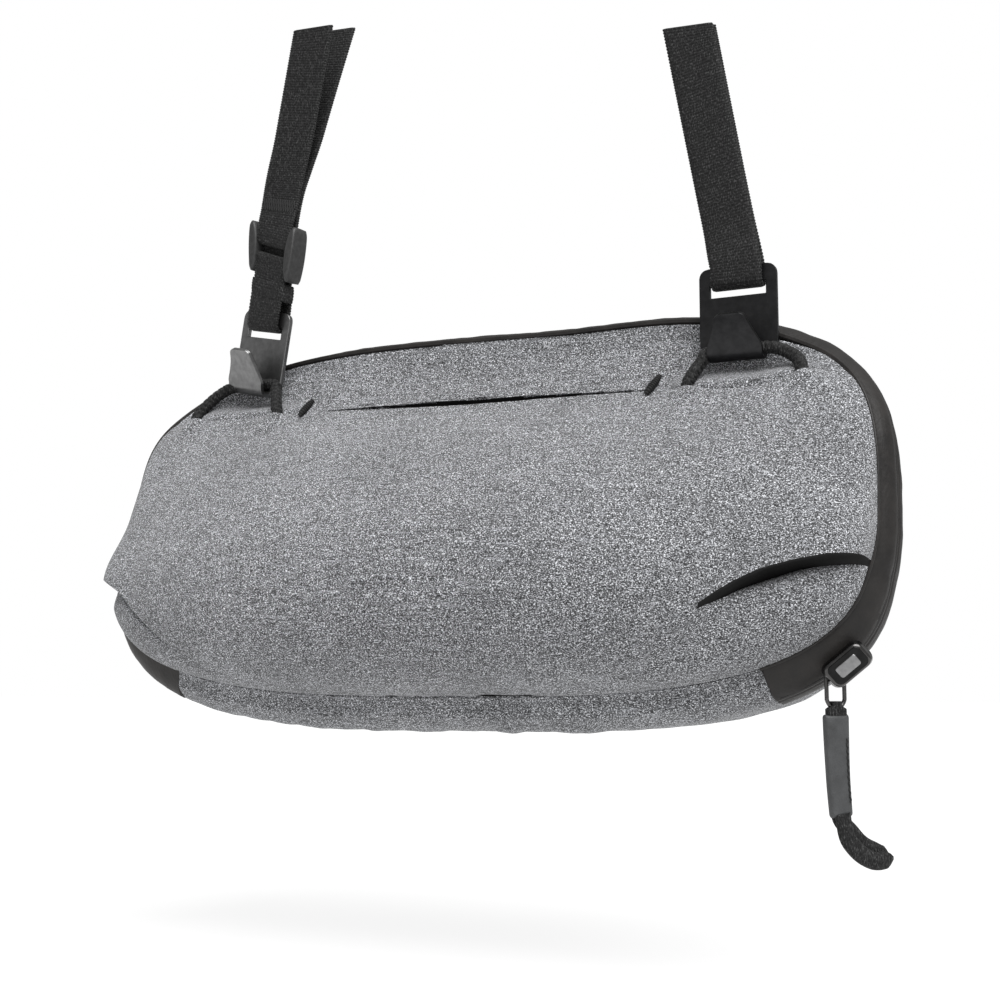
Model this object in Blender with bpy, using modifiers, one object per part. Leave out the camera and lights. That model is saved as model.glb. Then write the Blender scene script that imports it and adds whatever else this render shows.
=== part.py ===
"""Sling-style camera bag hanging from two strap hooks, in metres, +Z up, -Y towards the front.

The origin lies between the two cut strap ends, above the hooks. The bag hangs below it by two cord
loops, with its bottom swung a little to the front. Lengths below are in millimetres and are turned
into metres where a mesh is made.
"""

import math

import bmesh
import bpy
import numpy as np
from mathutils import Matrix, Vector

MM = 0.001

# The hang: straps, hooks and the line where the cords sit in the hooks.
HOOK_DROP = 134.0  # from the origin down to the line of the two hook seats
HOOK_X = 101.5
BAG_PITCH = -10.0  # degrees about X
STRAP_TOPS = {"right": (84.4, 124.3), "left": (-78.4, 154.5)}  # x and height above the hook seats
REAR_SPREAD = {"right": (60.0, 2.5), "left": (78.0, 13.0)}  # where the rear layer leaves, and how far

# The bag's outline at the front seam, seen from the front, measured from the hook seats.
HALF_WIDTH = 151.5
MIDDLE_Z = -62.0
TOP_RISE = 76.0
BOTTOM_DROP = 64.0
SQUARENESS = 3.2
SKEW = 0.026  # the loaded bag's top edge drops this much per millimetre towards the right
TOP_LIFT = 1.5
CORNER_LIFT = 5.0
CORNER_TUCK = 5.0
SIDE_DEPTH = -10.0  # y of the front seam at the sides and the bottom
TOP_LEAN = 17.0  # how far the front seam leans back at the top

# The zipper band.
BAND_RUN = 12.0  # from the front seam back to the zipper line
BAND_OUT = 7.0
BAND_OUT_BOTTOM = 10.0
BAND_THICK = 1.2
REAR_TAPE_RUN = 22.0  # setback of the rear tape's back edge
BAND_END_ANGLE = 49.5  # degrees below the level, where the zipper ends at each side
COIL_RADIUS = 1.1
COIL_OUT = 3.4

# The front.
FABRIC = 1.5
BULGE = 34.0
BULGE_PEAK_Z = -83.0
PANEL_BOTTOM_Z = -125.6
POCKET_EDGE_Z = -14.0
POCKET_EDGE_Y = -7.0
PAD = 3.0

# The rear shell and what it holds.
BACK_Y = 35.0
LINING_Y = 27.5
FOAM_THICK = 4.0
DIVIDER_X = 48.0
DIVIDER_THICK = 8.0
HINGE_Y = 2.6
HINGE_Z = -136.6

# Hooks and webbing.
PLATE_WIDTH = 28.5
PLATE_THICK = 1.8
PLATE_Y = 3.2
PLATE_TOP = 31.0
SLOT_WIDTH = 20.5
SLOT_LOW = 20.3
SLOT_HIGH = 24.6
HOOK_PIVOT_Z = 25.4
TONGUE_WIDTH = 20.0
TONGUE_TIP_WIDTH = 10.0
WEBBING_WIDTH = 19.0
WEBBING_THICK = 1.4
CORD_RADIUS = 2.0
CORD_BASES = (86.5, 126.5)

# Adjuster and keeper on the left strap.
ADJUSTER_LOW = 43.8
ADJUSTER_HEIGHT = 23.2
ADJUSTER_WIDTH = 26.0
ADJUSTER_BAR = 4.2
KEEPER_LOW = 36.2
KEEPER_HEIGHT = 6.0

# Zipper slider, ring and pull.
SLIDER_ANGLE = -32.5
SLIDER_LENGTH = 16.0
SLIDER_WIDTH = 8.0
SLIDER_TURN = 60.0  # degrees from outward to the front, the way its cap faces
SLIDER_LIFT = 2.4
PLATE_HEIGHT = 1.6
BAR_HEIGHT = 7.6
RING_PLACE = (-6.2, 0.0, 6.5)  # the ring's top centre in the slider's frame
RING_TURN = 45.0  # degrees from the bag's width to the ring's plane
RING_HALF = 2.9
RING_LENGTH = 5.0
RING_WIRE = 0.65
SHEATH_LENGTH = 31.4
SHEATH_WIDTH = 8.6
SHEATH_THICK = 3.0
LOOP_THICK = 2.4


# ---------------------------------------------------------------- collections, materials, objects


def clear_scene():
    for obj in list(bpy.data.objects):
        bpy.data.objects.remove(obj, do_unlink=True)


def new_collection(name):
    collection = bpy.data.collections.new(name)
    bpy.context.scene.collection.children.link(collection)
    return collection


def new_material(name, colour, roughness, metallic=0.0):
    material = bpy.data.materials.new(name)
    material.use_nodes = True
    shader = material.node_tree.nodes["Principled BSDF"]
    shader.inputs["Base Color"].default_value = (*colour, 1.0)
    shader.inputs["Roughness"].default_value = roughness
    shader.inputs["Metallic"].default_value = metallic
    material.diffuse_color = (*colour, 1.0)
    return material


def new_empty(name, location, parent=None, pitch=0.0):
    """A joint's pivot. The location is in its parent's space, in millimetres."""
    empty = bpy.data.objects.new(name, None)
    PARTS.objects.link(empty)
    empty.location = Vector(location) * MM
    empty.rotation_euler = (math.radians(pitch), 0.0, 0.0)
    empty.parent = parent
    return empty


def new_object(name, mesh, material, parent, collection=None):
    obj = bpy.data.objects.new(name, mesh)
    (collection or PARTS).objects.link(obj)
    if material:
        mesh.materials.append(material)
    obj.parent = parent
    return obj


def mesh_object(name, bm, material, parent, pivot=(0, 0, 0), collection=None):
    """Turns a bmesh in millimetres, given in the space around the pivot, into an object in metres."""
    bmesh.ops.translate(bm, verts=bm.verts, vec=-Vector(pivot))
    bmesh.ops.scale(bm, verts=bm.verts, vec=(MM, MM, MM))
    mesh = bpy.data.meshes.new(name)
    bm.to_mesh(mesh)
    bm.free()
    mesh.shade_smooth()
    mesh.set_sharp_from_angle(angle=math.radians(40))
    return new_object(name, mesh, material, parent, collection)


def add_solidify(obj, thickness, offset=-1.0):
    solidify = obj.modifiers.new("thickness", "SOLIDIFY")
    solidify.thickness = thickness * MM
    solidify.offset = offset
    solidify.use_even_offset = True
    solidify.thickness_clamp = 1.0
    return solidify


def add_bevel(obj, width, segments=2, angle=40):
    bevel = obj.modifiers.new("rounding", "BEVEL")
    bevel.width = width * MM
    bevel.segments = segments
    bevel.limit_method = "ANGLE"
    bevel.angle_limit = math.radians(angle)
    return bevel


def add_boolean(obj, other, operation):
    boolean = obj.modifiers.new(operation.lower(), "BOOLEAN")
    boolean.operation = operation
    boolean.object = other
    boolean.solver = "EXACT"
    return boolean


def hide_helper(obj):
    obj.hide_render = True
    obj.display_type = "WIRE"
    return obj


def box_bmesh(low, high):
    bm = bmesh.new()
    bmesh.ops.create_cube(bm, size=1.0)
    size = [b - a for a, b in zip(low, high)]
    middle = [(a + b) / 2 for a, b in zip(low, high)]
    bmesh.ops.scale(bm, verts=bm.verts, vec=size)
    bmesh.ops.translate(bm, verts=bm.verts, vec=middle)
    return bm


def grid_bmesh(rows, wrap=False, fill_last=False):
    """An open surface through rows of points. Rows run one way and their points the other."""
    bm = bmesh.new()
    verts = [[bm.verts.new(point) for point in row] for row in rows]
    for row, following in zip(verts, verts[1:]):
        steps = len(row) if wrap else len(row) - 1
        for i in range(steps):
            j = (i + 1) % len(row)
            bm.faces.new((row[i], following[i], following[j], row[j]))
    if fill_last:
        bm.faces.new(verts[-1][::-1])
    return bm


def shell(name, rows, thickness, material, parent, pivot=(0, 0, 0), wrap=False, fill_last=False):
    """A sheet of the given thickness. Its outer side is the surface through the rows."""
    obj = mesh_object(name, grid_bmesh(rows, wrap, fill_last), material, parent, pivot)
    add_solidify(obj, thickness)
    return obj


def tube(name, points, radius, material, parent, pivot=(0, 0, 0), cyclic=False, resolution=2):
    """A cord or wire: a poly curve with a round bevel and filled caps."""
    curve = bpy.data.curves.new(name, "CURVE")
    curve.dimensions = "3D"
    curve.resolution_u = 1
    curve.bevel_depth = radius * MM
    curve.bevel_resolution = resolution
    curve.use_fill_caps = True
    spline = curve.splines.new("POLY")
    spline.points.add(len(points) - 1)
    for control, point in zip(spline.points, points):
        control.co = (*((Vector(point) - Vector(pivot)) * MM), 1.0)
    spline.use_cyclic_u = cyclic
    return new_object(name, curve, material, parent)


def ribbon(name, sections, thickness, material, parent, pivot=(0, 0, 0)):
    """A flat band through (centre, half width vector) sections, with its thickness on both sides."""
    rows = [[tuple(Vector(c) - Vector(w)), tuple(Vector(c) + Vector(w))] for c, w in sections]
    obj = mesh_object(name, grid_bmesh(rows), material, parent, pivot)
    add_solidify(obj, thickness, offset=0.0)
    return obj


# ---------------------------------------------------------------- the bag's form


def smoothstep(low, high, value):
    share = min(max((value - low) / (high - low), 0.0), 1.0)
    return share * share * (3 - 2 * share)


def skewed(x, y, z):
    """The hang's sideways lean. It also lifts the top, most at the right corner, and draws the
    left end's upper corner in."""
    height = (z - (MIDDLE_Z - BOTTOM_DROP)) / (TOP_RISE + BOTTOM_DROP)
    over_mouth = smoothstep(-14.0, 10.0, z)
    corner = 1 - smoothstep(20.0, 100.0, x) * over_mouth
    corner *= 1 - smoothstep(105.0, 135.0, x) * smoothstep(-55.0, -10.0, z)
    lift = CORNER_LIFT * (1 - corner) + TOP_LIFT * over_mouth
    tuck = smoothstep(-95.0, -140.0, x) * smoothstep(-90.0, -62.0, z) * smoothstep(-5.0, -42.0, z)
    return (x + CORNER_TUCK * tuck, y, z - SKEW * x * min(max(height, 0.0), 1.1) + lift)


def seam_outline(angle):
    """(x, z above the middle) of the front seam at an angle in radians from +X."""
    c, s = math.cos(angle), math.sin(angle)
    rise = TOP_RISE if s > 0 else BOTTOM_DROP
    power = 2 / SQUARENESS
    return (
        HALF_WIDTH * math.copysign(abs(c) ** power, c),
        rise * math.copysign(abs(s) ** power, s),
    )


def seam_depth(angle):
    return SIDE_DEPTH + TOP_LEAN * smoothstep(0.1, 0.95, math.sin(angle))


def band_out(angle):
    return BAND_OUT + (BAND_OUT_BOTTOM - BAND_OUT) * smoothstep(0.2, 1.0, -math.sin(angle))


def beside_seam(angle, outset, setback):
    """A point beside the front seam: outset away from the bag's middle, setback towards its back."""
    x, z = seam_outline(angle)
    rise = TOP_RISE if z > 0 else BOTTOM_DROP
    nx = math.copysign(abs(x / HALF_WIDTH) ** (SQUARENESS - 1) / HALF_WIDTH, x)
    nz = math.copysign(abs(z / rise) ** (SQUARENESS - 1) / rise, z)
    length = math.hypot(nx, nz)
    return skewed(
        x + outset * nx / length,
        seam_depth(angle) + setback,
        z + MIDDLE_Z + outset * nz / length,
    )


def seam_angles(first, last, count):
    """Angles in radians that divide the seam from first to last (degrees) into equal lengths."""
    dense = np.radians(np.linspace(first, last, 1500))
    points = np.array([seam_outline(angle) for angle in dense])
    steps = np.linalg.norm(np.diff(points, axis=0), axis=1)
    along = np.concatenate([[0.0], np.cumsum(steps)])
    return np.interp(np.linspace(0.0, along[-1], count), along, dense)


def ring_angles(count):
    """Angles all the way round, without repeating the first."""
    return seam_angles(0.02, 360.02, count + 1)[:-1]


def band_angles(count):
    """Angles along the zipper, from its right end over the top to its left end."""
    return seam_angles(-BAND_END_ANGLE, 180 + BAND_END_ANGLE, count)


def gusset_angles(count):
    """Angles along the bottom gusset, between the zipper's ends."""
    gap = 0.25
    return seam_angles(180 + BAND_END_ANGLE + gap, 360 - BAND_END_ANGLE - gap, count)


def half_width_at(z):
    """The seam's half width at a height, before the skew."""
    rise = TOP_RISE if z > MIDDLE_Z else BOTTOM_DROP
    share = min(abs(z - MIDDLE_Z) / rise, 1.0)
    return HALF_WIDTH * (1 - share**SQUARENESS) ** (1 / SQUARENESS)


def angle_at(z):
    rise = TOP_RISE if z > MIDDLE_Z else BOTTOM_DROP
    share = min(abs(z - MIDDLE_Z) / rise, 1.0) ** (SQUARENESS / 2)
    return math.copysign(math.asin(share), z - MIDDLE_Z)


def bulge_share(across, z):
    """How much of the full bulge the front panel has, 0 at its edges."""
    if z > BULGE_PEAK_Z:
        climb = (z - BULGE_PEAK_Z) / (POCKET_EDGE_Z - BULGE_PEAK_Z)
        upright = 1 - max(climb, 0.0) ** 1.5
    else:
        fall = (BULGE_PEAK_Z - z) / (BULGE_PEAK_Z - PANEL_BOTTOM_Z)
        upright = math.sqrt(max(1 - fall**2.2, 0.0))
    sideways = (1 - min(abs(across), 1.0) ** 2.6) ** (1 / 1.8)
    return upright * sideways


def front_y(across, z):
    """y of the front panel's outer face. across runs from -1 to 1 over the panel's width."""
    edge = seam_depth(angle_at(z))
    near_mouth = smoothstep(-60.0, POCKET_EDGE_Z, z)
    middle = edge + (POCKET_EDGE_Y - edge) * near_mouth
    blend = smoothstep(1.0, 0.86, abs(across))
    return edge + (middle - edge) * blend - BULGE * bulge_share(across, z)


def panel_rows(top, bottom, rows, columns, inset, y_of):
    """Rows of points over the front, from the top down, each from the left to the right."""
    heights = [MIDDLE_Z + (top - MIDDLE_Z) * (1 - i / 5) for i in range(5)]
    turns = np.linspace(0.0, math.radians(89), rows)
    drop = MIDDLE_Z - bottom
    heights += [MIDDLE_Z - drop * math.sin(turn) ** (2 / SQUARENESS) for turn in turns]
    made = []
    for z in heights:
        half = max(half_width_at(z) - inset, 6.0)
        row = []
        for across in np.linspace(-1, 1, columns):
            row.append(skewed(half * across, y_of(across, z), z))
        made.append(row)
    return made


# ---------------------------------------------------------------- front shell


def make_front_panel(material):
    rows = panel_rows(POCKET_EDGE_Z, PANEL_BOTTOM_Z, 10, 25, 0.0, front_y)
    return shell("front_panel", rows, FABRIC, material, FRONT)


def upper_y(across, z):
    """y of the upper panel's outer face: it leans back from the pocket's mouth to the top seam."""
    lean = 7.2 + 1.2 * smoothstep(12.5, 4.0, z) - 8.0 * max((6.0 - z) / 20.5, 0.0) ** 1.8
    edge = seam_depth(angle_at(z))
    return lean + (edge - lean) * smoothstep(0.84, 1.0, abs(across))


def make_upper_panel(material):
    made = []
    for z in (POCKET_EDGE_Z + 0.6, -6.0, 0.0, 5.0, 9.0, 11.4, 12.3):
        half = half_width_at(z + 1.5 * smoothstep(-8.0, 4.0, z)) - 1.4
        made.append([skewed(half * a, upper_y(a, z), z) for a in np.linspace(-1, 1, 25)])
    return shell("upper_panel", made[::-1], FABRIC, material, FRONT)


def backing_y(across, z):
    """y of the padded pocket backing's front face, behind the front panel."""
    mouth = smoothstep(-45.0, -14.0, z)
    return front_y(across, z) * 0.82 + FABRIC + 5.5 + 2.8 * mouth


def make_pocket_backing(material):
    rows = panel_rows(-18.0, MIDDLE_Z - BOTTOM_DROP + 16.0, 8, 19, 12.0, backing_y)
    return shell("pocket_backing", rows, PAD, material, FRONT)


def make_front_wall_pad(material):
    """The padded wall behind the front seam, all the way round."""
    angles = ring_angles(56)
    rows = [
        [beside_seam(angle, -3.4, 3.0) for angle in angles],
        [beside_seam(angle, -0.6, 9.6) for angle in angles],
    ]
    return shell("front_wall_pad", rows, PAD, material, FRONT, wrap=True)


def band_rows(angles, start, end):
    """Two rows along the seam, each at an (outset share of the band, setback)."""
    return [
        [beside_seam(angle, band_out(angle) * share + more, setback) for angle in angles]
        for share, more, setback in (start, end)
    ]


def make_zip_flap(material):
    rows = band_rows(band_angles(60), (0.0, 0.8, 0.6), (1.0, 0.0, BAND_RUN))
    return shell("zip_flap", rows, BAND_THICK, material, FRONT)


def make_gusset_front(material):
    rows = band_rows(gusset_angles(22), (0.0, 0.8, 0.6), (1.0, 0.0, BAND_RUN))
    return shell("gusset_front", rows, BAND_THICK, material, FRONT)


def coil_points(setback):
    angles = band_angles(58)[1:-1]
    return [beside_seam(angle, COIL_OUT, setback) for angle in angles]


def make_zip_stop(name, angle, material):
    x, y, z = beside_seam(math.radians(angle), COIL_OUT, BAND_RUN - 1.0)
    bm = box_bmesh((x - 1.2, y - 1.1, z - 1.2), (x + 1.2, y + 1.1, z + 1.2))
    obj = mesh_object(name, bm, material, FRONT)
    add_bevel(obj, 0.3, 1)
    return obj


def make_bar_tack(name, x, lean, material):
    """A short slanted row of stitches across one end of the pocket's mouth."""
    points = []
    for share in (0.0, 0.5, 1.0):
        z = POCKET_EDGE_Z + 8.0 * (share - 0.1)
        y = POCKET_EDGE_Y - 1.3 + 4.0 * share
        points.append(skewed(x + lean * share, y, z))
    return tube(name, points, 0.7, material, FRONT, resolution=1)


def cord_points(side):
    """A cord loop, from its inner base over the hook seat to its outer base."""
    inner, outer = CORD_BASES
    seat_in, seat_out = HOOK_X - 10.5, HOOK_X + 10.5
    base_y, base_z = -3.7, POCKET_EDGE_Z + 0.6
    lifted = [skewed(side * x, 0, POCKET_EDGE_Z)[2] - POCKET_EDGE_Z for x in (inner, outer)]
    return [
        (side * inner, base_y, base_z + lifted[0]),
        (side * (inner + 0.6), base_y + 0.8, -6.0 + lifted[0] * 0.6),
        (side * (inner + 2.2), -1.0, -2.6 + lifted[0] * 0.3),
        (side * seat_in, 0.0, 0.0),
        (side * HOOK_X, 0.0, 0.0),
        (side * seat_out, 0.0, 0.0),
        (side * (seat_out + 5.0), -0.5, -1.2),
        (side * (seat_out + 9.5), -1.2, -4.0 + lifted[1] * 0.4),
        (side * (outer - 1.2), base_y + 0.8, -7.4 + lifted[1] * 0.7),
        (side * outer, base_y, base_z + lifted[1]),
    ]


# ---------------------------------------------------------------- rear shell


def make_zip_tape_rear(material):
    start = (1.0, 0.0, BAND_RUN + 1.0)
    rows = band_rows(band_angles(60), start, (1.0, -1.0, REAR_TAPE_RUN))
    return shell("zip_tape_rear", rows, BAND_THICK, material, REAR, REAR_PIVOT)


def make_gusset_rear(material):
    start = (1.0, 0.0, BAND_RUN + 1.0)
    rows = band_rows(gusset_angles(22), start, (1.0, -1.0, REAR_TAPE_RUN))
    return shell("gusset_rear", rows, BAND_THICK, material, REAR, REAR_PIVOT)


def flat_ring(angles, outset, y):
    return [(x, y, z) for x, _, z in (beside_seam(angle, outset, 0) for angle in angles)]


def rear_ring(angles, inset, share):
    """A ring between the rear tape's edge and the flat back."""
    made = []
    for angle in angles:
        x, y, z = beside_seam(angle, band_out(angle) - 1.0 - inset, REAR_TAPE_RUN + 0.5)
        made.append((x, y + (BACK_Y - y) * share, z))
    return made


def make_rear_panel(material):
    angles = ring_angles(60)
    rows = [rear_ring(angles, *at) for at in ((0.0, 0.0), (0.4, 0.5), (1.8, 0.86), (5.0, 1.0))]
    rows.append(rear_ring(angles, 22.0, 1.0))
    return shell("rear_panel", rows, FABRIC, material, REAR, REAR_PIVOT, True, True)


def make_rear_foam(material):
    angles = ring_angles(44)
    y = BACK_Y - FABRIC - 0.4
    rows = [flat_ring(angles, -3.0, y)]
    rows.append(flat_ring(angles, -20.0, y))
    return shell("rear_foam", rows, FOAM_THICK, material, REAR, REAR_PIVOT, True, True)


def make_rear_lining(material):
    angles = ring_angles(48)
    rows = [
        [beside_seam(angle, 0.6, 15.5) for angle in angles],
        flat_ring(angles, -3.0, LINING_Y - 0.6),
        flat_ring(angles, -6.0, LINING_Y),
        flat_ring(angles, -24.0, LINING_Y),
    ]
    return shell("rear_lining", rows, 1.0, material, REAR, REAR_PIVOT, True, True)


def make_mesh_pocket(material):
    """A stretch pocket on the lining, open at its top edge and bowed towards the front."""
    rows = []
    for z in np.linspace(-66.0, -108.0, 7):
        bow = 5.6 * math.sqrt(max(1 - ((-66.0 - z) / 42.0) ** 2, 0.0))
        row = []
        for across in np.linspace(-1, 1, 17):
            y = LINING_Y - 2.2 - bow * (1 - across**6)
            row.append(skewed(104.0 * across, y, z))
        rows.append(row)
    return shell("mesh_pocket", rows, 0.8, material, REAR, REAR_PIVOT)


def make_divider(name, x, material):
    """A padded wall across the bag, shaped to the slope of the front."""
    profile = (
        (9.0, -22.0), (-4.0, -45.0), (-15.0, -75.0), (-13.0, -100.0),
        (-2.0, -112.0), (18.0, -114.0), (18.0, -22.0),
    )
    bm = bmesh.new()
    left = x - DIVIDER_THICK / 2
    face = bm.faces.new([bm.verts.new(skewed(left, y, z)) for y, z in profile])
    grown = bmesh.ops.extrude_face_region(bm, geom=[face])
    moved = [item for item in grown["geom"] if isinstance(item, bmesh.types.BMVert)]
    bmesh.ops.translate(bm, verts=moved, vec=(DIVIDER_THICK, 0, 0))
    bmesh.ops.recalc_face_normals(bm, faces=bm.faces)
    obj = mesh_object(name, bm, material, REAR, REAR_PIVOT)
    add_bevel(obj, 2.4, 2)
    return obj


# ---------------------------------------------------------------- slider, ring and pull


def circle_centre(a, b, c):
    """Centre of the circle through three (x, z) points."""
    (ax, az), (bx, bz), (cx, cz) = a, b, c
    turn = 2 * (ax * (bz - cz) + bx * (cz - az) + cx * (az - bz))
    sa, sb, sc = ax * ax + az * az, bx * bx + bz * bz, cx * cx + cz * cz
    x = (sa * (bz - cz) + sb * (cz - az) + sc * (az - bz)) / turn
    z = (sa * (cx - bx) + sb * (ax - cx) + sc * (bx - ax)) / turn
    return x, z


def zipper_line(degrees):
    """A point of the zipper line in the bag's space."""
    angle = math.radians(degrees)
    return Vector(beside_seam(angle, band_out(angle), BAND_RUN))


def slider_frame():
    """Matrix whose X runs along the zipper, Y across it to the back and Z out of the band."""
    origin = zipper_line(SLIDER_ANGLE)
    along = (zipper_line(SLIDER_ANGLE + 1) - zipper_line(SLIDER_ANGLE - 1)).normalized()
    outward = Vector((-along.z, 0, along.x))
    if outward.x < 0:
        outward.negate()
    turn = math.radians(SLIDER_TURN)
    up = outward * math.cos(turn) - Vector((0, math.sin(turn), 0))
    across = up.cross(along)
    matrix = Matrix((along, across, up)).transposed().to_4x4()
    matrix.translation = origin
    return matrix


def placed(bm, frame):
    """Moves a bmesh from a local frame into its parent's space."""
    bmesh.ops.transform(bm, matrix=frame, verts=bm.verts)
    return bm


def make_slider_body(material, frame):
    """The slider's plate with the arched bar that the ring hangs on."""
    half, wide = SLIDER_LENGTH / 2, SLIDER_WIDTH / 2
    top = SLIDER_LIFT + PLATE_HEIGHT
    plate = box_bmesh((-half, -wide, SLIDER_LIFT), (half, wide, top))
    body = mesh_object("slider_body", placed(plate, frame), material, SLIDER, ARC_PIVOT)
    arch = []
    foot, shoulder = top - 0.8, BAR_HEIGHT - 1.0
    line = [(-6.7, foot), (-6.6, shoulder), (-5.8, BAR_HEIGHT)]
    line += [(5.6, BAR_HEIGHT), (6.5, shoulder), (6.6, foot)]
    for x, z in line:
        arch.append([tuple(frame @ Vector((x, side, z))) for side in (-0.9, 0.9)])
    bar = mesh_object("slider_arch", grid_bmesh(arch), None, SLIDER, ARC_PIVOT, CUTTERS)
    add_solidify(bar, 1.2, offset=0.0)
    hide_helper(bar)
    add_bevel(body, 0.6, 2)
    add_boolean(body, bar, "UNION")
    return body


def make_slider_cap(material, frame):
    wide = SLIDER_WIDTH / 2
    low = BAR_HEIGHT + 0.9
    cap = box_bmesh((-3.6, -wide + 0.2, low), (SLIDER_LENGTH / 2, wide - 0.2, low + 2.2))
    obj = mesh_object("slider_cap", placed(cap, frame), material, SLIDER, ARC_PIVOT)
    add_bevel(obj, 0.9, 3)
    return obj


def ring_points():
    """The oval ring, in the hang's space around its top centre: it hangs straight down."""
    turn = math.radians(RING_TURN)
    points = []
    for step in range(24):
        angle = 2 * math.pi * step / 24
        across = RING_HALF * math.cos(angle)
        height = RING_HALF * math.sin(angle) - (RING_LENGTH if math.sin(angle) < 0 else 0.0)
        points.append((across * math.cos(turn), across * math.sin(turn), height))
    return points


def pull_sections(path, half_width):
    """Sections of the pull for (sideways, height) points below the ring's lower centre."""
    turn = math.radians(RING_TURN)
    made = []
    for index, (side, height) in enumerate(path):
        before, after = path[max(index - 1, 0)], path[min(index + 1, len(path) - 1)]
        slope = Vector((after[0] - before[0], 0, after[1] - before[1])).normalized()
        width = Vector((-slope.z, 0, slope.x)) * half_width
        spin = Matrix.Rotation(turn, 3, "Z")
        made.append((spin @ Vector((side, 0, height)), spin @ width))
    return made


def bail_sections():
    """The narrow webbing that joins the pull to the ring: over the ring's lower wire and down."""
    turn = math.radians(RING_TURN)
    half = Vector((math.cos(turn), math.sin(turn), 0)) * 1.3
    depth = Vector((-math.sin(turn), math.cos(turn), 0))
    path = [(-1.6, -2.2), (-1.6, -0.2)]
    for degrees in (45, 90, 135):
        angle = math.radians(degrees)
        path.append((-1.6 * math.cos(angle), 1.6 * math.sin(angle)))
    path += [(1.6, -0.2), (1.6, -2.2)]
    return [(depth * across + Vector((0, 0, height)), half) for across, height in path]


# ---------------------------------------------------------------- hooks, straps, adjuster


def hook_profile():
    """(y, z, width) along the hook's sheet, from the plate's top to the tongue's tip."""
    made = [(PLATE_Y, PLATE_TOP, PLATE_WIDTH - 3.0), (PLATE_Y, PLATE_TOP - 1.5, PLATE_WIDTH)]
    made += [(PLATE_Y, z, PLATE_WIDTH) for z in (SLOT_HIGH + 2, SLOT_LOW - 2, 2.4)]
    made.append((PLATE_Y, 1.0, PLATE_WIDTH - 3.0))
    made.append((PLATE_Y, 0.4, TONGUE_WIDTH))
    for degrees in range(0, 181, 30):
        angle = math.radians(degrees)
        made.append((PLATE_Y * math.cos(angle), -PLATE_Y * math.sin(angle), TONGUE_WIDTH))
    made.append((-4.1, 3.4, 17.6))
    made.append((-6.2, 8.0, 14.0))
    made.append((-8.6, 11.6, TONGUE_TIP_WIDTH + 1.4))
    made.append((-9.6, 13.0, TONGUE_TIP_WIDTH - 1.6))
    return made


def make_hook(name, side, material, parent):
    """A bent sheet: a plate with a slot for the webbing, and a tongue that holds the cord."""
    rows = []
    for y, z, width in hook_profile():
        rows.append([(side * HOOK_X + width * share / 2, y, z) for share in np.linspace(-1, 1, 5)])
    pivot = (side * HOOK_X, PLATE_Y, HOOK_PIVOT_Z)
    obj = mesh_object(name, grid_bmesh(rows), material, parent, pivot)
    add_solidify(obj, PLATE_THICK, offset=0.0)
    half = SLOT_WIDTH / 2
    low = (side * HOOK_X - half, PLATE_Y - 4, SLOT_LOW)
    high = (side * HOOK_X + half, PLATE_Y + 4, SLOT_HIGH)
    cutter = mesh_object(name + "_slot", box_bmesh(low, high), None, parent, pivot, CUTTERS)
    add_bevel(cutter, 0.8, 2)
    hide_helper(cutter)
    add_boolean(obj, cutter, "DIFFERENCE")
    return obj


def strap_x(side, z):
    top_x, top_z = STRAP_TOPS[side]
    hook_x = math.copysign(HOOK_X, top_x)
    return hook_x + (top_x - hook_x) * max(z - 30.0, 0.0) / (top_z - 30.0)


def strap_section(side, y, z):
    """(centre, half width vector) of the webbing: it turns with the strap's lean above the hook."""
    top_x, top_z = STRAP_TOPS[side]
    lean = math.atan2(top_x - math.copysign(HOOK_X, top_x), top_z - 30.0)
    lean *= smoothstep(28.0, 46.0, z)
    half = WEBBING_WIDTH / 2
    return (strap_x(side, z), y, z), (half * math.cos(lean), 0.0, -half * math.sin(lean))


def make_webbing(name, side, material):
    """One webbing: down at the rear, through the hook's slot and up again at the front."""
    top_z = STRAP_TOPS[side][1]
    leave, spread = REAR_SPREAD[side]
    front = [(PLATE_Y - 1.0, z) for z in (top_z, (top_z + 48.0) / 2, 46.0)]
    front += [(PLATE_Y - 2.9, 34.0), (PLATE_Y - 2.9, 30.0)]
    turn = []
    for degrees in range(0, 181, 20):
        angle = math.radians(degrees)
        turn.append((PLATE_Y - 2.8 * math.cos(angle), 26.2 - 2.8 * math.sin(angle)))
    rear = [(PLATE_Y + 2.9, 30.0), (PLATE_Y + 2.9, 34.0), (PLATE_Y + 1.0, 46.0)]
    for z in np.linspace(leave, top_z, 5):
        away = ((z - leave) / (top_z - leave)) ** 1.2
        rear.append((PLATE_Y + 1.0 + spread * away, z))
    sections = [strap_section(side, y, z) for y, z in front + turn + rear]
    return ribbon(name, sections, WEBBING_THICK, material, STRAP)


def strap_local(side, z):
    """Matrix at a height on the strap: X across the webbing, Z up along it."""
    (x, _, _), half = strap_section(side, PLATE_Y, z)
    across = Vector(half).normalized()
    along = Vector((-across.z, 0, across.x))
    matrix = Matrix((across, Vector((0, 1, 0)), along)).transposed().to_4x4()
    matrix.translation = (x, PLATE_Y, z)
    return matrix


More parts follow.
